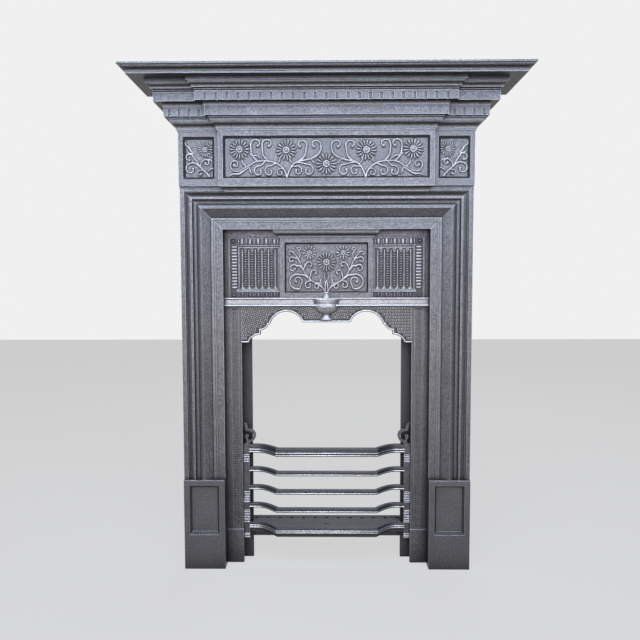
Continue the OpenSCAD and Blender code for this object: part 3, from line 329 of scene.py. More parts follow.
@dataclass(frozen=True)
class SunkField:
    """Opening of a sunk panel in a casting's face, in millimetres."""

    x0: float
    x1: float
    z0: float
    z1: float
    face: float
    sink: float
    bevel: float

    def floor(self) -> float:
        """Y of the panel's floor."""
        return self.face + self.sink

    def recut(self, work: bmesh.types.BMesh) -> None:
        """Clears whatever stands in the panel and leaves a plain floor with a bevel round it.

        Args:
            work: the casting's mesh, in metres and with its doubles merged.
        """
        slack = 0.02
        inside = []
        for face in work.faces:
            if all(self.x0 - slack <= v.co.x / MM <= self.x1 + slack
                   and self.z0 - slack <= v.co.z / MM <= self.z1 + slack
                   and v.co.y / MM < self.floor() + slack for v in face.verts):
                inside.append(face)
        bmesh.ops.delete(work, geom=inside, context="FACES")
        rim = [(self.x0, self.z0), (self.x1, self.z0), (self.x1, self.z1), (self.x0, self.z1)]
        inner = [(self.x0 + self.bevel, self.z0 + self.bevel), (self.x1 - self.bevel, self.z0 + self.bevel),
                 (self.x1 - self.bevel, self.z1 - self.bevel), (self.x0 + self.bevel, self.z1 - self.bevel)]
        outer = [work.verts.new((x * MM, self.face * MM, z * MM)) for x, z in rim]
        floor = [work.verts.new((x * MM, self.floor() * MM, z * MM)) for x, z in inner]
        for i in range(4):
            k = (i + 1) % 4
            work.faces.new((outer[i], outer[k], floor[k], floor[i]))
        # the floor takes the second slot, the darker ground coat: partly blacklead, partly painted shade
        work.faces.new(floor).material_index = 1
        bmesh.ops.remove_doubles(work, verts=work.verts, dist=SAME_PLACE)


def casting(name: str, node: str, width: float, fields: tuple[SunkField, ...] = (),
            segments: int = 2) -> bpy.types.Object:
    """Makes a casting from its node's solid, with rounded arrises.

    Args:
        name: the piece's name.
        node: the node that it stands for.
        width: rounding of the arrises in millimetres.
        fields: sunk panels to leave plain for their relief.
        segments: pieces across a rounding.

    Returns:
        The new piece.
    """
    work = bmesh.new()
    work.from_mesh(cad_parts[node].data)
    bmesh.ops.remove_doubles(work, verts=work.verts, dist=SAME_PLACE)
    for sunk in fields:
        sunk.recut(work)
    bmesh.ops.dissolve_limit(work, angle_limit=FLAT_TURN, verts=work.verts, edges=work.edges,
                             delimit={"MATERIAL"})
    mesh = bpy.data.meshes.new(name)
    work.to_mesh(mesh)
    work.free()
    piece = ease(object_of(mesh), width, segments)
    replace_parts(piece, node)
    return piece


# ---------- nodes ----------

def add_node(tree: bpy.types.NodeTree, kind: str, settings: dict | None = None,
             inputs: dict | None = None) -> bpy.types.Node:
    """Adds a node.

    Args:
        tree: the node tree.
        kind: Blender's name for the node.
        settings: properties to set on it.
        inputs: its inputs by name or number; a socket is linked, anything else is set.

    Returns:
        The node.
    """
    node = tree.nodes.new(kind)
    for key, value in (settings or {}).items():
        setattr(node, key, value)
    for key, value in (inputs or {}).items():
        if isinstance(value, bpy.types.NodeSocket):
            tree.links.new(value, node.inputs[key])
        else:
            node.inputs[key].default_value = value
    return node


class Pattern(Enum):
    """The geometry node trees that lay out repeated shapes."""

    RING = "petal ring"
    ROW = "row of ribs"
    SCATTER = "scattered bosses"
    SWEEP = "moulding along a path"


class Layout:
    """Builds each tree once and grows pieces from it."""

    def __init__(self) -> None:
        """Starts with no tree."""
        self.trees: dict[Pattern, bpy.types.NodeTree] = {}

    def tree(self, pattern: Pattern) -> bpy.types.NodeTree:
        """Gives a pattern's tree, and builds it on first use.

        Args:
            pattern: which one.

        Returns:
            The node tree.
        """
        if pattern not in self.trees:
            tree = bpy.data.node_groups.new(pattern.value, "GeometryNodeTree")
            tree.interface.new_socket("Geometry", in_out="OUTPUT", socket_type="NodeSocketGeometry")
            for name, kind in (("Geometry", "Geometry"), ("Count", "Int"), ("Step", "Vector"),
                               ("Shape", "Object"), ("Centre", "Object"), ("Material", "Material")):
                tree.interface.new_socket(name, in_out="INPUT", socket_type=f"NodeSocket{kind}")
            given = add_node(tree, "NodeGroupInput").outputs
            shape = add_node(tree, "GeometryNodeObjectInfo", None, {"Object": given["Shape"]})
            build = {Pattern.RING: self.ring, Pattern.ROW: self.row, Pattern.SCATTER: self.scatter,
                     Pattern.SWEEP: self.sweep}[pattern]
            made = build(tree, given, shape.outputs["Geometry"])
            whole = add_node(tree, "GeometryNodeRealizeInstances", None, {"Geometry": made})
            dressed = add_node(tree, "GeometryNodeSetMaterial", None,
                               {"Geometry": whole.outputs[0], "Material": given["Material"]})
            add_node(tree, "NodeGroupOutput", None, {"Geometry": dressed.outputs[0]})
            self.trees[pattern] = tree
        return self.trees[pattern]

    @staticmethod
    def turned(tree: bpy.types.NodeTree, angle: bpy.types.NodeSocket) -> bpy.types.NodeSocket:
        """Makes a rotation about the upright of the drawing."""
        euler = add_node(tree, "ShaderNodeCombineXYZ", None, {"Z": angle}).outputs[0]
        return add_node(tree, "FunctionNodeEulerToRotation", None, {0: euler}).outputs[0]

    def at_points(self, tree: bpy.types.NodeTree, points: bpy.types.NodeSocket,
                  shape: bpy.types.NodeSocket) -> bpy.types.NodeSocket:
        """Puts the shape on the base points, turned and sized by their attributes.

        Args:
            tree: the node tree.
            points: the base points.
            shape: the geometry to put there.

        Returns:
            The instances.
        """
        size, turn = [add_node(tree, "GeometryNodeInputNamedAttribute", {"data_type": "FLOAT"},
                               {"Name": name}).outputs["Attribute"] for name in ("size", "turn")]
        return add_node(tree, "GeometryNodeInstanceOnPoints", None,
                        {"Points": points, "Instance": shape, "Scale": size,
                         "Rotation": self.turned(tree, turn)}).outputs[0]

    def ring(self, tree: bpy.types.NodeTree, given: bpy.types.bpy_prop_collection,
             shape: bpy.types.NodeSocket) -> bpy.types.NodeSocket:
        """Puts Count copies of Shape round each base point, with Centre in the middle.

        Args:
            tree: the node tree.
            given: the tree's inputs.
            shape: the geometry of Shape.

        Returns:
            The geometry.
        """
        dots = add_node(tree, "GeometryNodePoints", None, {"Count": given["Count"]}).outputs[0]
        index = add_node(tree, "GeometryNodeInputIndex").outputs[0]
        angle = index
        for operation, number in (("MULTIPLY", math.tau), ("DIVIDE", given["Count"])):
            angle = add_node(tree, "ShaderNodeMath", {"operation": operation},
                             {0: angle, 1: number}).outputs[0]
        petals = add_node(tree, "GeometryNodeInstanceOnPoints", None,
                          {"Points": dots, "Instance": shape,
                           "Rotation": self.turned(tree, angle)}).outputs[0]
        centre = add_node(tree, "GeometryNodeObjectInfo", None, {"Object": given["Centre"]})
        both = add_node(tree, "GeometryNodeJoinGeometry")
        for part in (petals, centre.outputs["Geometry"]):
            tree.links.new(part, both.inputs[0])
        return self.at_points(tree, given["Geometry"], both.outputs[0])

    def row(self, tree: bpy.types.NodeTree, given: bpy.types.bpy_prop_collection,
            shape: bpy.types.NodeSocket) -> bpy.types.NodeSocket:
        """Puts Count copies of Shape, Step apart, from each base point on.

        Args:
            tree: the node tree.
            given: the tree's inputs.
            shape: the geometry of Shape.

        Returns:
            The geometry.
        """
        line = add_node(tree, "GeometryNodeMeshLine", {"mode": "OFFSET"},
                        {"Count": given["Count"], "Offset": given["Step"]}).outputs[0]
        copies = add_node(tree, "GeometryNodeInstanceOnPoints", None,
                          {"Points": line, "Instance": shape}).outputs[0]
        return self.at_points(tree, given["Geometry"], copies)

    def scatter(self, tree: bpy.types.NodeTree, given: bpy.types.bpy_prop_collection,
                shape: bpy.types.NodeSocket) -> bpy.types.NodeSocket:
        """Puts one copy of Shape on each base point."""
        return self.at_points(tree, given["Geometry"], shape)

    def sweep(self, tree: bpy.types.NodeTree, given: bpy.types.bpy_prop_collection,
              shape: bpy.types.NodeSocket) -> bpy.types.NodeSocket:
        """Sweeps Shape's outline along the base edges, upright all the way.

        Args:
            tree: the node tree.
            given: the tree's inputs.
            shape: the geometry of Shape.

        Returns:
            The geometry.
        """
        path = add_node(tree, "GeometryNodeMeshToCurve", None, {"Mesh": given["Geometry"]}).outputs[0]
        level = add_node(tree, "GeometryNodeSetCurveNormal", {"mode": "Z_UP"}, {"Curve": path}).outputs[0]
        outline = add_node(tree, "GeometryNodeMeshToCurve", None, {"Mesh": shape}).outputs[0]
        return add_node(tree, "GeometryNodeCurveToMesh", None,
                        {"Curve": level, "Profile Curve": outline, "Fill Caps": True}).outputs[0]

    def grow(self, name: str, pattern: Pattern, base: bpy.types.Object, **values: object) -> bpy.types.Object:
        """Grows a piece from a base object and turns it into plain mesh.

        Args:
            name: the piece's name.
            pattern: the tree to use.
            base: points or edges that it grows on; its mesh is used up.
            values: the tree's inputs by name.

        Returns:
            The piece.
        """
        modifier = base.modifiers.new(pattern.value, "NODES")
        tree = self.tree(pattern)
        modifier.node_group = tree
        for item in tree.interface.items_tree:
            if item.item_type == "SOCKET" and item.in_out == "INPUT" and item.name in values:
                modifier[item.identifier] = values[item.name]
        base.name = name
        piece = settle(base)
        for value in values.values():
            if isinstance(value, bpy.types.Object):
                bpy.data.objects.remove(value)
        return piece


def points_of(name: str, points: list[Point3], turns: list[float] | None = None,
              sizes: list[float] | None = None) -> bpy.types.Object:
    """Makes base points for a layout.

    Args:
        name: the object's name.
        points: where they are, in millimetres.
        turns: angle of each in degrees.
        sizes: scale of each.

    Returns:
        The base object.
    """
    mesh = bpy.data.meshes.new(name)
    mesh.from_pydata([tuple(c * MM for c in p) for p in points], [], [])
    for label, values in (("turn", [math.radians(t) for t in turns or [0.0] * len(points)]),
                          ("size", sizes or [1.0] * len(points))):
        mesh.attributes.new(label, "FLOAT", "POINT").data.foreach_set("value", values)
    return object_of(mesh)


def shape_of(shells: Shells) -> bpy.types.Object:
    """Makes a shape for a layout to repeat.

    Args:
        shells: its form.

    Returns:
        The object that shows it, shaded smooth.
    """
    piece = object_of(shells.mesh("shape"))
    piece.data.shade_smooth()
    return piece


# ---------- finishes ----------

def linear(code: str) -> tuple[float, float, float, float]:
    """Turns an sRGB hex value into linear colour.

    Args:
        code: six hex digits.

    Returns:
        Red, green, blue and alpha.
    """
    parts = [int(code[i:i + 2], 16) / 255 for i in (0, 2, 4)]
    return (*[p / 12.92 if p <= 0.04045 else ((p + 0.055) / 1.055) ** 2.4 for p in parts], 1.0)


@dataclass(frozen=True)
class IronFinish:
    """Cast iron: a sand-cast skin, with a painted highlight on its arrises, partly real rubbing, and painted
    shade in its crevices and under overhangs, partly blacklead left in the crevices.
    """

    name: str
    face: str
    # colour of the painted highlight on the arrises, partly real rubbing
    arris: str
    # dark colour of the random cloud and specks, and of the painted shade in crevices and hollows
    recess: str
    metallic: float
    rough_low: float
    rough_high: float
    grain_mm: float
    bump: float
    recess_mm: float
    arris_mm: float
    # reach and strength of the painted shade in hollows under overhangs
    hollow_shade_mm: float = 45.0
    hollow_shade_part: float = 0.75
    cloud_mm: ClassVar[float] = 55.0
    bump_mm: ClassVar[float] = 0.25
    recess_range: ClassVar[Point2] = (0.35, 0.82)
    hollow_shade_range: ClassVar[Point2] = (0.25, 0.90)
    arris_range: ClassVar[Point2] = (0.995, 0.90)
    arris_most: ClassVar[float] = 0.6
    cloud_range: ClassVar[Point2] = (0.3, 0.7)
    cloud_most: ClassVar[float] = 0.2
    speck_range: ClassVar[Point2] = (0.38, 0.62)
    speck_most: ClassVar[float] = 0.55
    rough_range: ClassVar[Point2] = (0.25, 0.75)

    def material(self) -> bpy.types.Material:
        """Builds the material.

        Returns:
            The material, named for the finish.
        """
        material = bpy.data.materials.new(self.name)
        material.use_nodes = True
        tree = material.node_tree
        tree.nodes.clear()
        dark = linear(self.recess)
        place = add_node(tree, "ShaderNodeTexCoord").outputs["Object"]
        grain, cloud = [
            add_node(tree, "ShaderNodeTexNoise", None,
                     {"Vector": place, "Scale": 1 / (size * MM), "Detail": detail}).outputs["Fac"]
            for size, detail in ((self.grain_mm, 3.0), (self.cloud_mm, 4.0))]
        # crevices turn towards the recess colour: partly blacklead and soot left there, partly painted shade
        crevice_residue_and_shade = self.openness(tree, self.recess_mm, self.recess_range, 0.0)
        # painted shade: hollows under overhangs darken, as a cast shadow would
        painted_hollow_shade = self.openness(tree, self.hollow_shade_mm, self.hollow_shade_range, 1 - self.hollow_shade_part)
        # painted highlight: rounded arrises turn towards the arris colour, partly real rubbing, but not down
        # in the crevices
        rounded = add_node(tree, "ShaderNodeBevel", {"samples": 4}, {"Radius": self.arris_mm * MM}).outputs[0]
        normal = add_node(tree, "ShaderNodeNewGeometry").outputs["Normal"]
        same = add_node(tree, "ShaderNodeVectorMath", {"operation": "DOT_PRODUCT"},
                        {0: rounded, 1: normal}).outputs["Value"]
        edge, tint, speck, rough = [
            add_node(tree, "ShaderNodeMapRange", None,
                     {0: value, 1: low, 2: high, 3: to_low, 4: to_high}).outputs[0]
            for value, (low, high), (to_low, to_high) in (
                (same, self.arris_range, (0.0, self.arris_most)),
                (cloud, self.cloud_range, (0.0, self.cloud_most)),
                (grain, self.speck_range, (0.0, self.speck_most)),
                (grain, self.rough_range, (self.rough_low, self.rough_high)))]
        wear_and_painted_highlight = add_node(tree, "ShaderNodeMath", {"operation": "MULTIPLY"}, {0: edge, 1: crevice_residue_and_shade}).outputs[0]
        colour = linear(self.face)
        for part, over in ((tint, dark), (speck, dark), (wear_and_painted_highlight, linear(self.arris))):
            colour = add_node(tree, "ShaderNodeMix", {"data_type": "RGBA"},
                              {0: part, 6: colour, 7: over}).outputs[2]
        # painted shade: first the hollows, then the crevices, turn towards the recess colour
        for part in (painted_hollow_shade, crevice_residue_and_shade):
            colour = add_node(tree, "ShaderNodeMix", {"data_type": "RGBA"},
                              {0: part, 6: dark, 7: colour}).outputs[2]
        bump = add_node(tree, "ShaderNodeBump", None,
                        {"Height": grain, "Strength": self.bump, "Distance": self.bump_mm * MM}).outputs[0]
        shader = add_node(tree, "ShaderNodeBsdfPrincipled", None,
                          {"Base Color": colour, "Roughness": rough, "Normal": bump,
                           "Metallic": self.metallic})
        add_node(tree, "ShaderNodeOutputMaterial", None, {"Surface": shader.outputs[0]})
        return material

    def openness(self, tree: bpy.types.NodeTree, distance: float, within: Point2,
                 least: float) -> bpy.types.NodeSocket:
        """How open a place is: 1 on a free face, least deep in a recess; it masks where shade is painted.

        Args:
            tree: the material's nodes.
            distance: how far around it looks, in millimetres.
            within: the openness that counts as deep, and the one that counts as free.
            least: the value deep in a recess.

        Returns:
            The socket with the value.
        """
        free = add_node(tree, "ShaderNodeAmbientOcclusion", {"samples": 6},
                        {"Distance": distance * MM}).outputs["AO"]
        return add_node(tree, "ShaderNodeMapRange", None,
                        {0: free, 1: within[0], 2: within[1], 3: least, 4: 1.0}).outputs[0]


# blackleaded cast iron, burnished: a mid grey graphite shine, with a painted highlight on the arrises, partly
# real rubbing, and painted shade that turns nearly black in the recesses, partly polish and soot left there,
# and darkens the hollows under overhangs; its grain is drawn coarser than the real sand grain, so that it
# shows
POLISHED = IronFinish("burnished_blackleaded_iron", "5c5c60", "b6b6ba", "060607", 0.75, 0.34, 0.50,
                      3.0, 0.75, 2.6, 1.6, 60.0, 0.9)
# the same blackleaded iron on raised ornament, painted lighter: partly rubbed hardest by a brush, partly
# painted light; almost silver
RELIEF = IronFinish("bright_rubbed_relief_iron", "8a8a8e", "cacace", "060608", 0.75, 0.30, 0.46,
                    2.0, 0.25, 1.3, 1.0, 12.0, 0.3)
# the same blackleaded iron on thin beads, painted lighter still: partly rubbed to bare metal, partly painted
# highlight; silver lines
BRIGHT = IronFinish("silvery_rubbed_bead_iron", "aaaaae", "d0d0d4", "060607", 0.8, 0.26, 0.40,
                    2.0, 0.2, 1.0, 0.8, 12.0, 0.2)
# the same blackleaded iron on the ground under the ornament, painted darker: partly blacklead where a brush
# doesn't reach, partly painted shade; dull
GROUND = IronFinish("dull_blackleaded_ground", "4e4e52", "70707a", "060608", 0.7, 0.38, 0.54,
                    2.4, 0.7, 4.0, 1.0, 14.0, 0.2)
# the same blackleaded iron between close ribs, painted darker still: partly blacklead where no brush gets in,
# partly painted shade; soft black
DEEP = IronFinish("soft_black_blackleaded_iron", "38383b", "58585c", "030304", 0.6, 0.42, 0.58,
                  2.0, 0.4, 4.0, 0.8, 14.0, 0.3)
# cast iron as it comes from the sand: dull, dark and grainy
ROUGH = IronFinish("sand_cast_iron", "48484a", "68686c", "131314", 0.6, 0.62, 0.85, 3.0, 0.7, 14.0, 0.8)
# plain drawn steel of the bolts and the pin: brighter, with a fine turned skin
STEEL = IronFinish("plain_steel", "77787a", "a2a3a6", "2c2c2e", 0.95, 0.30, 0.45, 1.5, 0.15, 6.0, 0.6)


class Coat(Enum):
    """Which of the blackleaded finishes a piece wears: lighter and darker copies of one iron, partly real
    rubbing and blacklead, partly painted light and shade.
    """

    FACE = "face"
    RELIEF = "relief"
    BRIGHT = "bright"
    GROUND = "ground"
    DEEP = "deep"


FINISHES = {Coat.FACE: POLISHED, Coat.RELIEF: RELIEF, Coat.BRIGHT: BRIGHT, Coat.GROUND: GROUND,
            Coat.DEEP: DEEP}


# ---------- assemblies ----------

@dataclass
class Assembly:
    """A group of pieces on one body."""

    layout: Layout
    finishes: dict[Coat, bpy.types.Material]
    body: str = "fireplace"
    pieces: list[tuple[bpy.types.Object, Coat]] = field(default_factory=list)

    def keep(self, *pieces: bpy.types.Object, coat: Coat = Coat.FACE) -> None:
        """Adds finished pieces to the assembly, with the coat that they get."""
        self.pieces.extend((piece, coat) for piece in pieces)

    def dress(self) -> None:
        """Gives every piece its finish and its body."""
        for piece, coat in self.pieces:
            piece.data.materials.clear()
            # the second slot holds the darker ground coat for sunk floors: partly blacklead, partly painted
            # shade
            for material in (self.finishes[coat], self.finishes[Coat.GROUND]):
                piece.data.materials.append(material)
            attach(piece, self.body)
            log.info("%s: %s, %s, rides on %s", type(self).__name__, piece.name, coat.value, self.body)


@dataclass
class Surround(Assembly):
    """Shelf, cornice, lintel, jambs and plinth blocks."""

    arris: float = 0.7
    plinth_arris: float = 0.9

    def build(self) -> None:
        """Makes the plain castings."""
        for node in ("mantel_shelf", "cornice", "lintel", "jamb_left", "jamb_right"):
            self.keep(casting(f"{node}_casting", node, self.arris))
        for node in ("plinth_left", "plinth_right"):
            self.keep(casting(f"{node}_casting", node, self.plinth_arris))


@dataclass
class Strand:
    """One moulded stem, curl or leaf of the scrollwork, drawn across and up in millimetres."""

    path: list[Point2]
    start: float = 6.6
    end: float = 5.0
    rise: float = 3.8
    bulb: float = 4.6
    leaf: bool = False
    let_in: ClassVar[float] = 0.6
    half_round: ClassVar[tuple[Point2, ...]] = ((1, 0.25), (0.8, 0.7), (0.4, 0.95), (0, 1), (-0.4, 0.95),
                                                (-0.8, 0.7), (-1, 0.25))
    eye: ClassVar[tuple[Point2, ...]] = ((1.0, 0.3), (0.85, 0.8), (0.5, 1.08), (0.0, 1.15))

    def width(self, part: float) -> float:
        """Full width at a part of the way along."""
        if self.leaf:
            return max(0.3, self.start * math.sin(math.pi * (0.12 + 0.86 * part)) ** 0.8)
        return self.start + (self.end - self.start) * part

    def add_to(self, shells: Shells, side: int = 1) -> None:
        """Adds the strand, half round and let into the ground.

        Args:
            shells: where it goes.
            side: 1 as drawn, -1 mirrored.
        """
        points = [(side * x, y) for x, y in smooth(self.path)]
        rings = []
        last = len(points) - 1
        for i, point in enumerate(points):
            along = (Vector(points[min(i + 1, last)]) - Vector(points[max(i - 1, 0)])).normalized()
            half = self.width(i / last) / 2
            high = self.rise * min(1.0, half / (self.start / 2)) ** 0.7
            section = [(1, -self.let_in), *[(c, h * high) for c, h in self.half_round], (-1, -self.let_in)]
            rings.append([(point[0] - along.y * half * c, point[1] + along.x * half * c, h)
                          for c, h in section])
        shells.skin(rings)
        if self.bulb and not self.leaf:
            profile = [(0.9 * self.bulb, -self.let_in),
                       *[(r * self.bulb, h * self.rise) for r, h in self.eye]]
            shells.lathe(points[-1], profile, 12)


@dataclass
class Daisies:
    """The daisies of a panel: rod-like petals round a ringed, dimpled button.

    A flower is drawn with a radius of 1 and sized by its place.
    """

    places: list[tuple[float, float, float]]
    petals: int = 16
    turn_step: ClassVar[float] = 8.0
    petal_width: ClassVar[float] = 1.8
    petal_foot: ClassVar[float] = -0.03
    petal_stations: ClassVar[tuple[Point3, ...]] = (
        (0.3, 0.35, 0.05), (0.38, 0.5, 0.1), (0.52, 0.72, 0.14), (0.7, 0.95, 0.16), (0.87, 1.0, 0.16),
        (0.96, 0.8, 0.12), (1.0, 0.3, 0.05))
    button_profile: ClassVar[tuple[Point2, ...]] = (
        (0.32, -0.03), (0.32, 0.12), (0.29, 0.17), (0.24, 0.17), (0.21, 0.09), (0.17, 0.09), (0.15, 0.2),
        (0.11, 0.24), (0.05, 0.25), (0, 0.25))

    def grow(self, layout: Layout, name: str, material: bpy.types.Material) -> bpy.types.Object:
        """Grows the flowers, drawn across and up.

        Args:
            layout: the geometry node trees.
            name: the piece's name.
            material: the finish.

        Returns:
            The flowers as one piece.
        """
        petal, button = Shells(), Shells()
        wide = self.petal_width / self.petals
        petal.skin([[(x, wide * half * math.cos(a), high * math.sin(a) if a > 0 else self.petal_foot)
                     for a in [math.pi * k / 6 for k in range(7)]] for x, half, high in self.petal_stations])
        button.lathe((0, 0), list(self.button_profile), 20)
        base = points_of(name, [(x, y, 0) for x, y, _ in self.places],
                         [self.turn_step * i for i in range(len(self.places))],
                         [r for _, _, r in self.places])
        return layout.grow(name, Pattern.RING, base, Count=self.petals, Shape=shape_of(petal),
                           Centre=shape_of(button), Material=material)


@dataclass
class Panelled(Assembly):
    """An assembly with scroll and daisy panels."""

    def relief(self, name: str, vine: list[Strand], flowers: dict[str, Daisies], floor: float,
               middle: Point2, sides: tuple[int, ...] = (1, -1)) -> None:
        """Makes the vine and the flowers of one panel.

        Args:
            name: start of the pieces' names.
            vine: the strands.
            flowers: the daisies by the end of their piece's name.
            floor: Y of the panel's floor.
            middle: X and Z of the panel's middle.
            sides: 1 as drawn, -1 mirrored, or both.
        """
        shells = Shells()
        for side in sides:
            for strand in vine:
                strand.add_to(shells, side)
        pieces = [object_of(shells.mesh(f"{name}_scrolls"))]
        for label, daisies in flowers.items():
            pieces.append(daisies.grow(self.layout, f"{name}_{label}", self.finishes[Coat.RELIEF]))
        # the relief wears the lighter relief coat: partly rubbing, partly painted light
        self.keep(*[shade(turn_out(piece, floor, middle), RELIEF_TURN) for piece in pieces], coat=Coat.RELIEF)


@dataclass
class Frieze(Panelled):
    """The three frieze blocks with their scroll and daisy panels."""

    half_width: float = 360.0
    centre_half: float = 261.0
    centre_front: float = -89.0
    end_front: float = -78.0
    border: float = 11.0
    low: float = 977.0
    high: float = 1079.0
    mid: float = 1028.0
    sink: float = 8.0
    bevel: float = 6.0
    arris: float = 0.8
    centre_daisies: tuple[Point3, ...] = ((0, -16, 26.5), (-97, 17, 26), (97, 17, 26), (-210, 19, 25.5),
                                          (210, 19, 25.5))
    end_daisy: Point3 = (15, 21, 19.5)

    def centre_vine(self) -> list[Strand]:
        """Draws the left half of the long panel's vine, from the panel's middle.

        Returns:
            The strands.
        """
        root = (-95.5, -47.5)
        return [
            Strand([root, (-89, -31), (-79, -16), (-65, -9), (-52, 3), *curl((-60.5, 29), 14.5, -35, 235)]),
            Strand([(-65, -9), (-45, -6), (-22, 4), (-13, 18), *curl((-26.5, 29), 14.5, -20, 235)]),
            Strand([(-72, -12), (-58, -14), *curl((-44, -32), 15.5, 105, -200)], 5.6),
            Strand([(-84, -22), *curl((-69, -33), 12.5, 120, -200)], 5.0, 4.4),
            Strand([root, (-103, -29), (-122, -14), (-147, -9), (-171, -11), (-186, -20)], 6.2, bulb=4.2),
            Strand([(-140, -10), (-152, 4), (-155, 22), *curl((-141, 31), 14.5, 190, -65)]),
            Strand([(-165, -11), (-179, 4), (-182.5, 22), *curl((-168.5, 31.5), 14.5, 190, -65)]),
            Strand([(-152, -8), (-166, 3), (-181, 5), (-186, 14)], 5.0, leaf=True),
            Strand([(-122, -14), (-131, -19), *curl((-137.5, -34), 14, 75, 380)], 5.6),
            Strand([(-148, -10), (-156, -19), *curl((-163.5, -34), 14, 75, 380)], 5.6),
            Strand([(-104, -28), *curl((-111, -37), 10, 80, 370)], 4.6, 4.0, bulb=3.8),
            Strand([(-186, -22), (-184, -34), (-178, -42)], 6.0, leaf=True),
            Strand([(-184, -20), (-196, -24), (-211, -33), (-226, -32), (-232, -22),
                    *curl((-221, -17), 10.5, 175, -140)], 4.8),
            Strand([(-188, -24), (-204, -35), (-214, -40), (-226, -40), (-240, -47)], 7.5, leaf=True),
            Strand([(-192, -24), (-202, -14), (-204, -3)], 6.5, leaf=True),
            Strand([(-80, -16), (-88, -6), (-84, 4)], 5.0, leaf=True),
            Strand([(-118, -15), (-112, -6), (-118, 3)], 5.0, leaf=True),
            Strand([(-36, -3), (-31, -12), (-22, -16)], 5.0, leaf=True),
        ]

    def end_vine(self) -> list[Strand]:
        """Draws the vine of the left end panel, from that panel's middle.

        Returns:
            The strands.
        """
        return [
            Strand([(26, -45), (16, -34), (6, -24), (-6, -14), (-16, -10), *curl((-20, -26), 15, 80, 370)],
                   6.0),
            Strand([(0, -18), (-8, -4), (-16, 6), *curl((-24, 0), 12, 40, 270)], 5.5),
            Strand([(-12, 12), (-20, 18), (-24, 26), (-32, 32), (-34, 42)], 7.0, leaf=True),
            Strand([(-14, 12), (-24, 12), (-32, 20)], 6.0, leaf=True),
            Strand([(2, -20), (6, -10), (16, -2), *curl((18, -11), 8, 100, -160)], 5.0),
            Strand([(20, -34), (28, -26), (34, -24), (36, -34)], 5.5, leaf=True),
            Strand([(8, -26), *curl((2, -36), 8, 60, 300)], 4.6, 3.6),
            Strand([(18, -4), (28, -4), (34, -12)], 6.0, leaf=True),
        ]

    def block(self, name: str, node: str, ends: Point2, front: float) -> SunkField:
        """Makes one block with its panel cut plain.

        Args:
            name: the piece's name.
            node: the node that it stands for.
            ends: lowest and highest X of the panel.
            front: Y of the block's face.

        Returns:
            The panel.
        """
        panel = SunkField(*ends, self.low, self.high, front, self.sink, self.bevel)
        self.keep(casting(name, node, self.arris, (panel,)))
        return panel

    def build(self) -> None:
        """Makes the blocks and their relief."""
        inner, outer = self.centre_half + self.border, self.half_width - self.border
        reach = self.centre_half - self.border
        centre = self.block("frieze_centre_block", "frieze_centre", (-reach, reach), self.centre_front)
        self.relief("frieze_centre", self.centre_vine(), {"daisies": Daisies(list(self.centre_daisies))},
                    centre.floor(), (0, self.mid))
        across, up, size = self.end_daisy
        for name, side in (("left", -1), ("right", 1)):
            ends = (inner, outer) if side > 0 else (-outer, -inner)
            end = self.block(f"frieze_{name}_block", f"frieze_end_{name}", ends, self.end_front)
            self.relief(f"frieze_{name}", self.end_vine(), {"daisies": Daisies([(-side * across, up, size)])},
                        end.floor(), (side * (self.centre_half + self.half_width) / 2, self.mid), (-side,))


@dataclass
class Urn(Assembly):
    """The small gadrooned urn that stands across the band."""

    base_z: float = 687.5
    front: float = -54.0
    back: float = -38.0
    lobes: int = 11
    lobe_rise: float = 0.1
    lobe_sink: float = 0.07
    bowl: Point2 = (-41.0, -26.0)
    widest: float = 36.0
    sides: int = 48
    outline: tuple[Point2, ...] = (
        (18, -56.5), (18.5, -55.6), (18.5, -54.4), (14.5, -51), (11.5, -48), (9.5, -45.5), (9.5, -43),
        (12, -41.5), (18.5, -38), (23, -34), (26, -30), (27.5, -26.6), (32, -25.6), (32.5, -24.6),
        (32.5, -17.2), (30.8, -16.2), (30.8, -15.2), (32, -14.4), (32, -12.5), (33.5, -11), (33.5, -10),
        (30.5, -9.4), (30.5, -8), (33.5, -7.4), (36, -6.8), (36, -3.2), (34.5, -2.4), (14, -2.0), (13.5, 0),
        (11, 3), (8.5, 6.5), (7.5, 9), (8, 11), (11, 11.8), (11, 13.2), (10, 14))

    def build(self) -> None:
        """Makes the urn as a turned form, cut by the plate behind it."""
        shells = Shells()
        rings = []
        for half, up in self.outline:
            gadrooned = self.bowl[0] < up < self.bowl[1]
            depth = (self.back - self.front) * min(1.0, (half / self.widest) ** 0.5)
            ring = []
            for k in range(self.sides + 1):
                turn = math.pi * k / self.sides
                lobe = self.lobe_rise * abs(math.sin(self.lobes * turn)) - self.lobe_sink
                swell = 1 + (lobe if gadrooned else 0)
                ring.append((half * swell * math.cos(turn), self.back - depth * swell * math.sin(turn),
                             self.base_z + up))
            rings.append([(-half, self.back + 1, self.base_z + up), *reversed(ring),
                          (half, self.back + 1, self.base_z + up)])
        shells.skin(rings)
        urn = shade(object_of(shells.mesh("urn_relief")), 40)
        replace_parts(urn, "urn")
        # the urn wears the lighter relief coat: partly rubbing, partly painted light
        self.keep(urn, coat=Coat.RELIEF)


@dataclass(frozen=True)
class RibRow:
    """A row of half-round ribs with soft ends, on the border of the arcaded panel."""

    name: str
    width: float
    height: float
    rise: float
    starts: tuple[Point2, ...]
    count: int
    pitch: float
    turn: float = 0.0
    coat: Coat = Coat.RELIEF
    stations: ClassVar[tuple[Point2, ...]] = ((-0.5, 0.5), (-0.46, 0.92), (-0.4, 1.0),
                                              (0.4, 1.0), (0.46, 0.92), (0.5, 0.5))

    def rib(self) -> bpy.types.Object:
        """Makes one rib, drawn across and up from its middle.

        Returns:
            The shape.
        """
        shells = Shells()
        shells.skin([half_round(self.width / 2 * part, self.rise * part, self.height * up, 5)
                     for up, part in self.stations])
        return shape_of(shells)


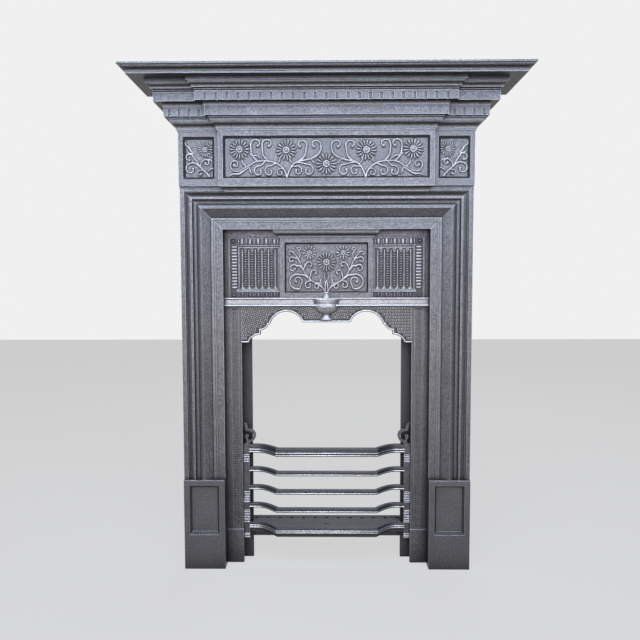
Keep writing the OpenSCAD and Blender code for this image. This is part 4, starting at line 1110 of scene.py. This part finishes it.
def half_round(half: float, rise: float, up: float, sides: int) -> Ring:
    """Half-round outline across, with a foot let into the ground.

    Args:
        half: its half width.
        rise: how far it stands out.
        up: height of the outline's plane in the drawing.
        sides: number of straight pieces over the top.

    Returns:
        The closed outline.
    """
    foot = -0.5
    return [(half * math.cos(a), up, rise * math.sin(a) if a else foot)
            for a in [math.pi * k / sides for k in range(sides)]] + [(-half, up, foot)]


@dataclass
class InsertHead(Panelled):
    """Top of the insert: flower panel, arcaded panels, their small cornice and the band."""

    foot: float = 687.5
    top: float = 857.0
    crest_foot: float = 837.5
    flower_half: float = 117.0
    outer: float = 247.0
    back: float = -31.0
    ground: float = -38.0
    raised: float = -41.0
    flower_face: float = -44.0
    flower_sink: float = 7.0
    flower_bevel: float = 4.0
    frame_width: float = 12.0
    sill_foot: float = 701.0
    sill_end: float = 226.0
    field_end: float = 222.0
    field_head: float = 812.5
    bays: int = 5
    bay_head: float = 813.0
    arch_mid: float = 806.8
    arch_radius: float = 4.7
    column_pitch: float = 16.5
    column_foot: float = 709.0
    column_head: float = 809.5
    column_rise: float = 3.6
    bead_start: Point2 = (0.6, 718.0)
    bead_pitch: float = 6.0
    beads: int = 15
    bead_rise: float = 2.8
    border: tuple[RibRow, ...] = (
        RibRow("reeds", 6.8, 14.0, 2.6, ((232.0, 713.0),), 14, 7.8, 90.0),
        RibRow("top_ribs", 8.4, 13.8, 2.8, ((131.0, 828.6),), 5, 20.4),
        RibRow("top_reeds", 3.2, 13.8, 2.6, ((122.8, 828.6), (139.2, 828.6)), 5, 20.4),
        RibRow("foot_ribs", 7.4, 11.5, 2.4, ((131.0, 694.6),), 5, 20.4, coat=Coat.FACE),
        RibRow("foot_reeds", 3.2, 11.5, 2.2, ((122.8, 694.6), (139.2, 694.6)), 5, 20.4, coat=Coat.FACE))
    band_rods: tuple[Point3, ...] = ((-45.2, 667.8, 3.0), (-42.6, 685.4, 2.0))
    band_half: float = 256.5

    def vine(self) -> list[Strand]:
        """Draws the right half of the flower panel's vine, from the panel's middle.

        Returns:
            The strands.
        """
        rise = 4.2
        return [
            Strand([(3, -60), (12, -48), (28, -38), (46, -26), (60, -2), (70, 20), (82, 36), (91, 43)],
                   6.4, 4.2, rise, 2.5),
            Strand([(44, -27), (56, -19), *arc((74, -35), 18.5, 112, -110), *curl((73, -33), 13, -135, -400)],
                   7.2, 5.6, rise, 5.0),
            Strand([(40, -32), *curl((45, -44), 10.5, 105, -215)], 6.4, 5.2, rise, 4.4),
            Strand([(20, -44), *curl((23, -47), 9, 130, -190)], 5.8, 4.8, rise, 4.0),
            Strand([(59, -5), (68, 5), *curl((83, -2), 11, 150, -160)], 6.4, 5.0, rise, 4.4),
            Strand([(66, 14), (75, 24), *curl((87, 19), 9, 150, -150)], 5.8, 4.8, rise, 4.0),
            Strand([(78, 32), (84, 40), *curl((91, 35), 6.5, 140, -90)], 4.8, 4.0, rise, 3.4),
            Strand([(58, -6), (53, 8), *curl((42, 6), 10.5, 0, 235)], 6.2, 5.0, rise, 4.4),
            Strand([(42, -30), (40, -16), *curl((30, -13), 9.5, -20, 225)], 6.0, 5.0, rise, 4.2),
            Strand([(70, 22), (66, 34), (74, 48), *curl((68, 46), 6.0, 40, 250)], 4.8, 4.0, rise, 3.4),
            Strand([(12, -47), (15, -34), (12, -26)], 6.5, leaf=True, rise=rise),
            Strand([(2, -58), (3, -44), (0, -30)], 6.5, leaf=True, rise=rise),
            Strand([(4, -30), (5, -20), (3, -12)], 4.4, 3.6, rise, 0),
        ]

    def flower_panel(self) -> None:
        """Makes the framed panel with its relief."""
        edge = self.flower_half - self.frame_width
        sunk = SunkField(-edge, edge, self.foot + self.frame_width, self.crest_foot - self.frame_width,
                         self.flower_face, self.flower_sink, self.flower_bevel)
        self.keep(casting("flower_panel_block", "flower_panel", 0.8, (sunk,)))
        self.relief("flower_panel", self.vine(),
                    {"daisy": Daisies([(0, 14, 26)]),
                     "side_daisies": Daisies([(42.5, 38, 19), (-42.5, 38, 19)], 12)},
                    sunk.floor(), (0, (self.foot + self.crest_foot) / 2))

    def rows(self, name: str, shape: bpy.types.Object, starts: list[Point2], count: int, step: Point3,
             turn: float = 0.0) -> bpy.types.Object:
        """Grows rows of one shape on the ground of the panel.

        Args:
            name: the piece's name.
            shape: what is repeated.
            starts: where each row starts, in X and Z.
            count: shapes in a row.
            step: from one to the next.
            turn: angle of the rows in degrees.

        Returns:
            The piece, standing on the ground.
        """
        base = points_of(name, [(x, z, 0) for x, z in starts], [turn] * len(starts))
        piece = self.layout.grow(name, Pattern.ROW, base, Count=count, Step=Vector(step) * MM, Shape=shape,
                                 Material=self.finishes[Coat.RELIEF])
        return shade(turn_out(piece, self.ground), RELIEF_TURN)

    def column(self) -> bpy.types.Object:
        """Makes one slender column: a flared foot, a half-round shaft and a round head.

        Returns:
            The shape, drawn across and up from its foot.
        """
        high = self.column_head - self.column_foot
        shells = Shells()
        shells.skin([half_round(half, self.column_rise * part, up, 6) for up, half, part in
                     ((0, 7.4, 0.6), (3, 5.6, 0.7), (6, 3.4, 0.85), (8.5, 2.3, 1), (high - 4, 2.3, 1),
                      (high - 2, 2.1, 0.95), (high - 0.7, 1.4, 0.7), (high, 0.5, 0.3))])
        return shape_of(shells)

    def bead(self) -> bpy.types.Object:
        """Makes one of the small cushions that are strung between the columns.

        Returns:
            The shape, drawn across and up from its middle.
        """
        corners = ((-1, -0.6), (0, -1), (1, -0.6), (1, 0.6), (0, 1), (-1, 0.6))
        shells = Shells()
        shells.skin([[(half * x, long * y, part * self.bead_rise) for x, y in corners]
                     for half, long, part in ((3.3, 1.75, -0.2), (3.3, 1.75, 0.5), (2.0, 0.5, 1.0))])
        return shape_of(shells)

    def frames(self) -> bpy.types.Object:
        """Makes the right-hand panel's raised strips, sill and the head over it.

        Returns:
            The piece.
        """
        inner = self.flower_half
        shells = Shells()
        shells.box((inner, self.ground, self.crest_foot), (self.outer, self.back, self.top))
        for x0, x1, z0, z1 in ((self.outer - 4.5, self.outer, self.foot, self.crest_foot),
                               (inner, self.outer - 4, self.crest_foot - 2, self.crest_foot),
                               (inner, self.sill_end, 817.5, 820.0),
                               (inner, self.field_end, 812.2, 815.0),
                               (self.field_end - 3.5, self.field_end, self.column_foot, self.field_head),
                               (inner, inner + 4, self.column_foot, self.field_head)):
            shells.box((x0, self.raised + 0.4, z0), (x1, self.ground + 1, z1))
        sill = [(self.ground + 1, self.sill_foot), (self.raised - 0.6, self.sill_foot),
                (self.raised - 0.6, self.sill_foot + 2.5), (self.ground - 0.6, self.sill_foot + 8.5),
                (self.ground + 1, self.sill_foot + 8.5)]
        shells.skin([[(x, y, z) for y, z in sill] for x in (self.sill_end, inner + 0.2)])
        return ease(object_of(shells.mesh("arcade_frames_right")), 0.5)

    def arches(self, bays: list[float]) -> bpy.types.Object:
        """Makes the pointed heads between the columns' tops.

        Args:
            bays: X of each bay's middle.

        Returns:
            The piece.
        """
        half = self.column_pitch / 2
        shells = Shells()
        for x in bays:
            side = [(x - half, self.bay_head), *arc((x - half, self.arch_mid), self.arch_radius, 90, -12, 8),
                    (x - 1.8, 803.8)]
            shells.upright([*side, (x, 803.0), *[(2 * x - px, pz) for px, pz in reversed(side)]],
                           self.raised + 0.6, self.ground + 1)
        return ease(object_of(shells.mesh("arcade_heads_right")), 0.6)

    def arcade(self) -> None:
        """Makes the right-hand arcaded panel and mirrors it."""
        first = self.flower_half + self.frame_width
        bays = [first + (i + 0.5) * self.column_pitch for i in range(self.bays)]
        columns = self.rows("arcade_columns_right", self.column(), [(first, self.column_foot)], self.bays + 1,
                            (self.column_pitch, 0, 0))
        beads = self.rows("arcade_beads_right", self.bead(),
                          [(x + self.bead_start[0], self.bead_start[1]) for x in bays], self.beads,
                          (0, self.bead_pitch, 0))
        raised = [(columns, Coat.RELIEF), (beads, Coat.RELIEF)]
        for row in self.border:
            raised.append((self.rows(f"arcade_{row.name}_right", row.rib(), list(row.starts), row.count,
                                     (row.pitch, 0, 0), row.turn), row.coat))
        slab = Shells()
        slab.box((self.flower_half, self.ground, self.foot), (self.outer, self.back, self.crest_foot))
        ground = object_of(slab.mesh("arcade_ground_right"))
        # the ground slab wears the near-black deep coat: partly blacklead between the ribs, partly painted
        # shade
        plain = [(ground, Coat.DEEP), (self.frames(), Coat.FACE), (self.arches(bays), Coat.FACE)]
        for piece, coat in plain + raised:
            twin = mirrored(piece.name.replace("right", "left"), piece)
            if piece is ground:
                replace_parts(piece, "arcade_panel_right")
                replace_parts(twin, "arcade_panel_left")
            self.keep(piece, twin, coat=coat)

    def band_beads(self) -> None:
        """Makes the round bead along the band's foot and the finer one along its top."""
        shells = Shells()
        for y, z, radius in self.band_rods:
            shells.rod((-self.band_half, self.band_half), (y, z), (radius, radius), 14)
        # the beads wear the lighter bead coat: partly rubbed bare, partly painted highlight
        self.keep(shade(object_of(shells.mesh("insert_band_beads")), RELIEF_TURN), coat=Coat.BRIGHT)

    def build(self) -> None:
        """Makes the head of the insert."""
        self.flower_panel()
        self.arcade()
        self.band_beads()
        self.keep(casting("insert_crest_casting", "insert_crest", 0.5),
                  casting("panel_screw_heads", "panel_screws", 0.3))
        # the band wears the lighter relief coat: partly rubbing, partly painted light
        self.keep(casting("insert_band_casting", "insert_band", 0.6), coat=Coat.RELIEF)


def hood_edge(shift: float) -> list[Point2]:
    """Draws the right half of the hood's cut edge, from the centre out.

    Args:
        shift: how far it is moved up into the plate, in millimetres.

    Returns:
        Points in X and Z.
    """
    crown, crown_radius, lip = (101, 608), 44, 17
    hollow, hollow_radius = (169.5, 628), 24
    ear, ear_radius, ear_foot = (167, 561), 33, 12
    meet = math.degrees(math.atan2(hollow[1] - crown[1], hollow[0] - crown[0]))
    step_x = ear[0] + shift
    start = 180 - math.degrees(math.asin((lip + shift) / (crown_radius + shift)))
    return [
        *arc(crown, crown_radius + shift, start, meet, 24),
        *arc(hollow, hollow_radius - shift, meet + 180,
             270 + math.degrees(math.asin((step_x - hollow[0]) / (hollow_radius - shift))), 10),
        *arc(ear, ear_radius + shift, math.degrees(math.acos(shift / (ear_radius + shift))),
             math.degrees(math.asin((ear_foot + shift) / (ear_radius + shift))), 8),
        (216, ear[1] + ear_foot + shift),
    ]


@dataclass
class Weave:
    """Basket weave: small cushions laid by turns across and up.

    The real pitch, about 5.6 mm, is too fine to show: the weave is drawn coarser.
    """

    pitch: float = 7.6
    long_side: float = 6.0
    short_side: float = 2.3
    rise: float = 1.8
    apart: ClassVar[float] = 0.24
    levels: ClassVar[tuple[Point3, ...]] = ((1.0, 1.0, -0.4), (1.0, 1.0, 0.35), (0.8, 0.25, 1.0))

    def cushion(self) -> bpy.types.Object:
        """Makes two strips side by side, each with a ridged top.

        Returns:
            The shape.
        """
        shells = Shells()
        for offset in (-self.apart * self.pitch, self.apart * self.pitch):
            shells.skin([[(self.long_side / 2 * x * along, offset + self.short_side / 2 * y * across,
                           self.rise * up) for x, y in ((-1, -1), (1, -1), (1, 1), (-1, 1))]
                         for along, across, up in self.levels])
        return shape_of(shells)

    def grow(self, layout: Layout, name: str, cells: list[tuple[float, float, int]], face: float,
             finish: bpy.types.Material) -> bpy.types.Object:
        """Grows the weave on an upright face.

        Args:
            layout: the geometry node trees.
            name: the piece's name.
            cells: X, Z and 0 or 1 for a cushion across or up.
            face: Y of the face.
            finish: the material.

        Returns:
            The piece.
        """
        base = points_of(name, [(x, z, 0) for x, z, _ in cells], [90.0 * t for _, _, t in cells])
        piece = layout.grow(name, Pattern.SCATTER, base, Shape=self.cushion(), Material=finish)
        return shade(turn_out(piece, face), 40)


@dataclass
class HoodAndStiles(Assembly):
    """The hood plate with its scalloped, beaded edge, the two stiles and the foot blocks."""

    face: float = -38.0
    head: float = 664.5
    first_row: float = 4.5
    rows: int = 16
    weave_half: float = 212.8
    weave_gap: float = 2.5
    rim_shift: float = 2.5
    rim_top: float = 5.0
    rim_width: float = 4.4
    rim_rise: float = 2.2
    lip: float = 627.5
    strip_face: float = -36.5
    strip_x: float = 232.5
    strip_low: float = 98.5
    strip_high: float = 660.0
    strip_half: float = 9.0
    strip_columns: int = 3
    strip_weave: Weave = field(default_factory=lambda: Weave(6.0, 5.0, 1.8, 2.0))

    def edge_height(self, x: float) -> float:
        """Height of the top of the hood's bead at a distance from the centre.

        Args:
            x: the distance.

        Returns:
            The highest Z of the bead there.
        """
        edge = hood_edge(self.rim_top)
        line = [(0.0, edge[0][1]), *edge]
        heights = [a[1] + (b[1] - a[1]) * (x - a[0]) / (b[0] - a[0]) for a, b in zip(line, line[1:])
                   if a[0] <= x <= b[0] and b[0] > a[0]]
        return max(heights, default=line[-1][1])

    def hood_weave(self) -> None:
        """Lays the weave over the hood, down to its bead."""
        weave = Weave()
        cells = []
        columns = round(2 * self.weave_half / weave.pitch)
        for i in range(columns + 1):
            x = (i - columns / 2) * weave.pitch
            low = max(self.edge_height(abs(x) + d) for d in (-3.5, 0, 3.5)) + weave.pitch / 2 - self.weave_gap
            heights = [self.head - self.first_row - k * weave.pitch for k in range(self.rows)]
            cells += [(x, z, (i + k) % 2) for k, z in enumerate(heights) if z > low]
        # the weave wears the lighter bead coat: partly rubbing, partly painted highlight
        self.keep(weave.grow(self.layout, "hood_weave", cells, self.face, self.finishes[Coat.BRIGHT]),
                  coat=Coat.BRIGHT)

    def rim(self) -> None:
        """Makes the bead along the hood's cut edge."""
        path = [(0, self.lip), (30, self.lip), (58, self.lip), *hood_edge(self.rim_shift)[1:]]
        shells = Shells()
        for side in (1, -1):
            Strand(path, self.rim_width, self.rim_width, self.rim_rise, 0).add_to(shells, side)
        piece = turn_out(object_of(shells.mesh("hood_rim_bead")), self.face - self.rim_rise)
        # the bead wears the lighter bead coat: partly rubbed bare, partly painted highlight on a bead that
        # sits in shade
        self.keep(shade(piece, RELIEF_TURN), coat=Coat.BRIGHT)

    def stile_strips(self) -> None:
        """Makes the woven strip up each stile, on a ground painted dark: partly blacklead, partly painted
        shade between the cushions.
        """
        weave = self.strip_weave
        rows = int((self.strip_high - self.strip_low) / weave.pitch)
        middle = (self.strip_columns - 1) / 2
        cells = [(side * (self.strip_x + (i - middle) * weave.pitch),
                  self.strip_low + (k + 0.5) * weave.pitch, (i + k) % 2)
                 for side in (1, -1) for i in range(self.strip_columns) for k in range(rows)]
        self.keep(weave.grow(self.layout, "stile_weave", cells, self.strip_face, self.finishes[Coat.RELIEF]),
                  coat=Coat.RELIEF)
        ground = Shells()
        for side in (1, -1):
            middle_x = side * self.strip_x
            ground.box((middle_x - self.strip_half, self.strip_face - 0.3, self.strip_low - 2),
                       (middle_x + self.strip_half, self.strip_face + 1, self.strip_high + 2.5))
        # a thin dark plate behind the weave: partly blacklead, partly painted shade
        self.keep(object_of(ground.mesh("stile_strip_ground")), coat=Coat.DEEP)

    def build(self) -> None:
        """Makes the plates and their woven ground."""
        # the hood plate behind the weave wears the near-black deep coat: partly blacklead, partly painted
        # shade
        self.keep(casting("hood_casting", "hood_plate", 1.3, segments=3), coat=Coat.DEEP)
        for side in ("left", "right"):
            self.keep(casting(f"stile_{side}_casting", f"stile_{side}", 0.4),
                      casting(f"foot_block_{side}_casting", f"foot_block_{side}", 0.9))
        self.hood_weave()
        self.rim()
        self.stile_strips()


@dataclass
class FireFront(Assembly):
    """The lift-off front: two ribbed standards, four bars and the ledge."""

    body: str = "fire_front"
    end_front: float = -29.5
    bulge: float = 37.0
    corner: float = 128.0
    run_out: float = 180.0
    wave_steps: int = 16
    standard_inner: float = 199.5
    thick: float = 11.0
    tops: tuple[float, ...] = (308.0, 248.0, 200.5, 153.0)
    top_bar: float = 22.0
    low_bar: float = 12.0
    top_beads: tuple[float, ...] = (3.3, 9.3)
    low_beads: tuple[float, ...] = (3.3,)
    bead_out: float = 0.1
    bead: float = 2.1
    bar_bead: Point3 = (1.9, 0.5, 0.7)
    ledge_top: float = 101.5
    ledge_foot: float = 77.5
    ledge_plate: float = 7.0
    ledge_beads: tuple[float, ...] = (12.0, 16.8)
    ledge_bead: Point3 = (1.7, 0.6, 0.5)
    plate_half: float = 192.5
    plate_front: float = -18.5
    stud_y: float = -30.0
    standard_front: float = -30.0
    standard_foot: float = 60.0
    rib_first: float = 1.2
    rib_pitch: float = 4.4
    rib_groups: tuple[tuple[float, int], ...] = ((3, 3), (43, 8), (96, 7), (202, 5))
    rib_ends: Point2 = (0.4, 14.8)
    rib_out: float = 0.7
    rib_radii: Point2 = (1.5, 1.3)

    def front_line(self) -> list[Point2]:
        """Front of the bars seen from above: straight in the middle, then a quarter wave to the ends.

        Returns:
            Points in X and Y, from left to right.
        """
        half = [(self.corner + (self.run_out - self.corner) * u,
                 self.end_front - self.bulge + self.bulge * math.sin(math.pi / 2 * u))
                for u in [i / self.wave_steps for i in range(self.wave_steps + 1)]]
        half.append((self.standard_inner + 1, self.end_front))
        return [(-x, y) for x, y in reversed(half)] + half

    def path(self, name: str, height: float) -> bpy.types.Object:
        """Draws the front line as edges at a height.

        Args:
            name: the object's name.
            height: Z in millimetres.

        Returns:
            The base object for a sweep.
        """
        line = self.front_line()
        mesh = bpy.data.meshes.new(name)
        mesh.from_pydata([(x * MM, y * MM, height * MM) for x, y in line],
                         [(i, i + 1) for i in range(len(line) - 1)], [])
        return object_of(mesh)

    def sweep(self, name: str, foot: float, section: list[Point2], coat: Coat) -> bpy.types.Object:
        """Sweeps a section along the front line.

        Args:
            name: the piece's name.
            foot: Z of the section's origin.
            section: outward from the front line, and upward.
            coat: the finish.

        Returns:
            The kept piece.
        """
        mesh = bpy.data.meshes.new("section")
        mesh.from_pydata([(out * MM, -up * MM, 0) for out, up in section],
                         [(i, (i + 1) % len(section)) for i in range(len(section))], [])
        piece = shade(self.layout.grow(name, Pattern.SWEEP, self.path(name, foot), Shape=object_of(mesh),
                                       Material=self.finishes[coat]), 34)
        self.keep(piece, coat=coat)
        return piece

    def bar(self, name: str, node: str, foot: float, section: list[Point2], beads: tuple[float, ...]) -> None:
        """Makes one bar with its beads, which wear the lighter bead coat: partly rubbing, partly painted
        highlight.

        Args:
            name: the piece's name.
            node: the node that it stands for.
            foot: Z of its underside.
            section: its outline.
            beads: heights of the beads' middles over the underside.
        """
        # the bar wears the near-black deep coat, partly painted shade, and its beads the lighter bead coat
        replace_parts(self.sweep(name, foot, section, Coat.DEEP), node)
        for k, middle in enumerate(beads):
            self.sweep(f"{name}_bead_{k + 1}", foot,
                       [(self.bead_out + self.bead * math.cos(a), middle + self.bead * math.sin(a))
                        for a in round_angles(12)], Coat.BRIGHT)

    def beads(self, middles: tuple[float, ...], form: Point3) -> list[Point2]:
        """Outlines half-round beads one above the other, each between two quirks.

        Args:
            middles: heights of their middles.
            form: radius of a bead, width of a quirk, and its depth behind the face.

        Returns:
            Points outward and upward, from the lowest quirk to the highest.
        """
        radius, quirk, deep = form
        line: list[Point2] = []
        for middle in middles:
            line += [(-deep, middle - radius - quirk), *arc((self.bead_out, middle), radius, -90, 90, 9),
                     (-deep, middle + radius + quirk)]
        return line

    def section(self, height: float, middles: tuple[float, ...]) -> list[Point2]:
        """Outlines a bar with round beads on its face.

        Args:
            height: the bar's height.
            middles: heights of the beads' middles.

        Returns:
            The closed outline, outward and upward.
        """
        return [(-0.9, 0.0), (-0.2, 0.4), *self.beads(middles, self.bar_bead),
                (0.0, middles[-1] + self.bar_bead[0] + 1.2), (0.0, height - 1.2), (-0.4, height - 0.4),
                (-1.2, height), (-self.thick + 1, height), (-self.thick, height - 1), (-self.thick, 1.0),
                (-self.thick + 1, 0.0)]

    def ledge(self) -> None:
        """Makes the ledge: a deep plate behind a nose with two beads and a return below."""
        height = self.ledge_top - self.ledge_foot
        nose = [(-3.6, 0.0), (-3.0, 0.6), (-3.0, 5.0), (-1.5, 6.5),
                *self.beads(self.ledge_beads, self.ledge_bead),
                (0.0, 19.6), (0.0, height - 1.4), (-0.5, height - 0.5), (-1.4, height),
                (-self.thick, height), (-self.thick, height - self.ledge_plate), (-self.thick, 0.0)]
        self.bar("ledge_nose", "fire_ledge", self.ledge_foot, nose, self.ledge_beads)
        line = [(x, y + self.thick - 1) for x, y in self.front_line() if abs(x) < self.plate_half]
        plate = Shells()
        plate.flat([(-self.plate_half, self.plate_front), *line, (self.plate_half, self.plate_front),
                    (self.plate_half, 0), (-self.plate_half, 0)],
                   self.ledge_top - self.ledge_plate, self.ledge_top - 0.15)
        plate.lathe((0, self.stud_y), [(7, self.ledge_top - 1), (7, self.ledge_top + 0.3),
                                       (6, self.ledge_top + 0.8), (0, self.ledge_top + 0.9)])
        self.keep(ease(object_of(plate.mesh("ledge_plate")), 0.4), coat=Coat.DEEP)

    def standards(self) -> None:
        """Makes the two standards and the ribs across their fronts."""
        for side in ("left", "right"):
            # the standards wear the darker ground coat: partly blacklead, partly painted shade
            self.keep(casting(f"standard_{side}_casting", f"standard_{side}", 0.7), coat=Coat.GROUND)
        ribs = Shells()
        for side in (1, -1):
            ends = sorted(side * (self.standard_inner + reach) for reach in self.rib_ends)
            for start, count in self.rib_groups:
                for k in range(count):
                    height = self.standard_foot + start + self.rib_first + k * self.rib_pitch
                    ribs.rod(ends, (self.standard_front - self.rib_out, height), self.rib_radii, 10)
        # the ribs wear the lighter bead coat: partly rubbing, partly painted highlight
        self.keep(shade(object_of(ribs.mesh("standard_ribs")), RELIEF_TURN), coat=Coat.BRIGHT)

    def build(self) -> None:
        """Makes the fire front."""
        self.standards()
        for i, top in enumerate(self.tops):
            height, beads = (self.low_bar, self.low_beads) if i else (self.top_bar, self.top_beads)
            self.bar(f"bar_{i + 1}", f"fire_bar_{i + 1}", top - height, self.section(height, beads), beads)
        self.ledge()


@dataclass(frozen=True)
class Lamp:
    """A soft rectangular lamp that doesn't show itself."""

    name: str
    place: Point3
    aim: Point3
    size: Point2
    power: float
    hue: str

    def hang(self) -> None:
        """Hangs the lamp, turned to what it faces."""
        data = bpy.data.lights.new(self.name, "AREA")
        data.shape = "RECTANGLE"
        data.size, data.size_y = self.size
        data.energy = self.power
        data.color = linear(self.hue)[:3]
        lamp = bpy.data.objects.new(self.name, data)
        lamp.location = self.place
        lamp.rotation_euler = (Vector(self.aim) - Vector(self.place)).to_track_quat("-Z", "Y").to_euler()
        lamp.visible_camera = False
        bpy.context.scene.collection.objects.link(lamp)
        log.info("Lamp: %s, %g W", self.name, self.power)


@dataclass
class Studio:
    """Floor, backdrop, lamps and camera; places in metres but for the camera's, in millimetres."""

    focal_px: float = 600.0
    frame_px: float = 640.0
    sensor: float = 36.0
    stand: Point3 = (0.0, -1555.3, 727.0)
    pitch: float = math.atan(0.0636)
    yaw: float = math.atan(6.5 / 600)
    roll: float = math.atan(1 / 500)
    floor_half: float = 6000.0
    floor_thick: float = 20.0
    floor_matt: str = "7c7a7a"
    floor_seen: str = "ececec"
    floor_seen_part: float = 0.72
    sky_seen: str = "f0f0f0"
    sky_light: str = "e8eaee"
    sky_power: float = 0.08
    cool: ClassVar[str] = "e1ecff"
    warm: ClassVar[str] = "fff1e6"
    lamps: tuple[Lamp, ...] = (
        Lamp("key", (-0.04, -2.2, 1.4), (0, 0, 1.0), (3.4, 0.9), 80, cool),
        Lamp("overhead", (-0.12, -1.4, 2.25), (0, 0, 0.8), (2.6, 0.6), 66, cool),
        Lamp("low_fill", (-0.04, -2.3, 0.3), (0, 0, 0.3), (2.6, 0.7), 30, warm),
        Lamp("upper_left", (-1.6, -1.5, 1.9), (0, 0, 0.9), (0.5, 0.5), 3, cool),
        Lamp("back_fill", (0.6, 1.8, 2.5), (0, 0.1, 0.6), (2.0, 0.8), 55, cool))

    @staticmethod
    def seen(tree: bpy.types.NodeTree) -> bpy.types.NodeSocket:
        """Tells what shows from what lights.

        Args:
            tree: the material's or the world's nodes.

        Returns:
            1 for rays that the eye, a reflection or a clear piece sends out, 0 for the light itself.
        """
        path = add_node(tree, "ShaderNodeLightPath").outputs
        total = path["Is Camera Ray"]
        for kind in ("Is Glossy Ray", "Is Transmission Ray"):
            total = add_node(tree, "ShaderNodeMath", {"operation": "ADD", "use_clamp": True},
                             {0: total, 1: path[kind]}).outputs[0]
        return total

    def ground(self) -> None:
        """Makes the plain pale floor."""
        shells = Shells()
        shells.box((-self.floor_half, -self.floor_half, -self.floor_thick),
                   (self.floor_half, self.floor_half, 0))
        floor = object_of(shells.mesh("floor"))
        material = bpy.data.materials.new("pale_floor")
        material.use_nodes = True
        tree = material.node_tree
        tree.nodes.clear()
        matt = add_node(tree, "ShaderNodeBsdfDiffuse", None, {"Color": linear(self.floor_matt)}).outputs[0]
        glow = add_node(tree, "ShaderNodeEmission", None, {"Color": linear(self.floor_seen)}).outputs[0]
        part = add_node(tree, "ShaderNodeMath", {"operation": "MULTIPLY"},
                        {0: self.seen(tree), 1: self.floor_seen_part}).outputs[0]
        both = add_node(tree, "ShaderNodeMixShader", None, {0: part, 1: matt, 2: glow}).outputs[0]
        add_node(tree, "ShaderNodeOutputMaterial", None, {"Surface": both})
        floor.data.materials.append(material)
        floor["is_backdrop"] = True

    def sky(self) -> None:
        """Makes a pale world: plain to the eye and to reflections, faint as a light."""
        world = bpy.data.worlds.new("studio")
        world.use_nodes = True
        tree = world.node_tree
        tree.nodes.clear()
        pale, light = [add_node(tree, "ShaderNodeBackground", None, {"Color": linear(hue), "Strength": power})
                       for hue, power in ((self.sky_seen, 1.0), (self.sky_light, self.sky_power))]
        mixed = add_node(tree, "ShaderNodeMixShader", None,
                         {0: self.seen(tree), 1: light.outputs[0], 2: pale.outputs[0]})
        add_node(tree, "ShaderNodeOutputWorld", None, {"Surface": mixed.outputs[0]})
        bpy.context.scene.world = world

    def camera(self) -> None:
        """Sets the camera where the photograph was taken."""
        data = bpy.data.cameras.new("view")
        data.sensor_width = self.sensor
        data.lens = self.focal_px / self.frame_px * self.sensor
        camera = bpy.data.objects.new("view", data)
        camera.location = [c * MM for c in self.stand]
        turn = (Matrix.Rotation(self.yaw, 4, "Z") @ Matrix.Rotation(math.pi / 2 - self.pitch, 4, "X")
                @ Matrix.Rotation(-self.roll, 4, "Z"))
        camera.rotation_euler = turn.to_euler()
        bpy.context.scene.collection.objects.link(camera)
        bpy.context.scene.camera = camera

    def build(self) -> None:
        """Sets everything up."""
        self.ground()
        self.sky()
        for lamp in self.lamps:
            lamp.hang()
        self.camera()
        bpy.context.scene.view_settings.view_transform = "Standard"
        log.info("Studio: ready")


class CarriedOver:
    """The plain nodes that stay as they are: they only need their finish."""

    rough: ClassVar[tuple[str, ...]] = (
        "corner_strap_left", "corner_strap_right", "insert_backplate", "cheek_left", "cheek_right",
        "throat_plate", "register_flap", "bottom_grate")
    steel: ClassVar[tuple[str, ...]] = (
        "flap_pin", "joint_bolts", "joint_nuts", "shelf_screws", "strap_bolts", "insert_bolts",
        "cheek_bolts")

    def dress(self, rough: bpy.types.Material, steel: bpy.types.Material) -> None:
        """Gives the nodes their materials.

        Args:
            rough: the finish of the hidden castings.
            steel: the finish of the bolts and the pin.
        """
        for names, material in ((self.rough, rough), (self.steel, steel)):
            for name in names:
                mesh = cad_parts[name].data
                mesh.materials.clear()
                mesh.materials.append(material)
                log.info("%s: %s", type(self).__name__, name)


def main() -> None:
    """Builds and dresses the fireplace, then the studio."""
    logging.basicConfig(level=logging.INFO, format="%(name)s: %(message)s")
    coats = {coat: finish.material() for coat, finish in FINISHES.items()}
    layout = Layout()
    for kind in (Surround, Frieze, InsertHead, Urn, HoodAndStiles, FireFront):
        part = kind(layout, coats)
        part.build()
        part.dress()
    CarriedOver().dress(ROUGH.material(), STEEL.material())
    Studio().build()
    [[list(corner) for corner in box] for box in (cad_box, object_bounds())]


if __name__ == "__main__":
    main()
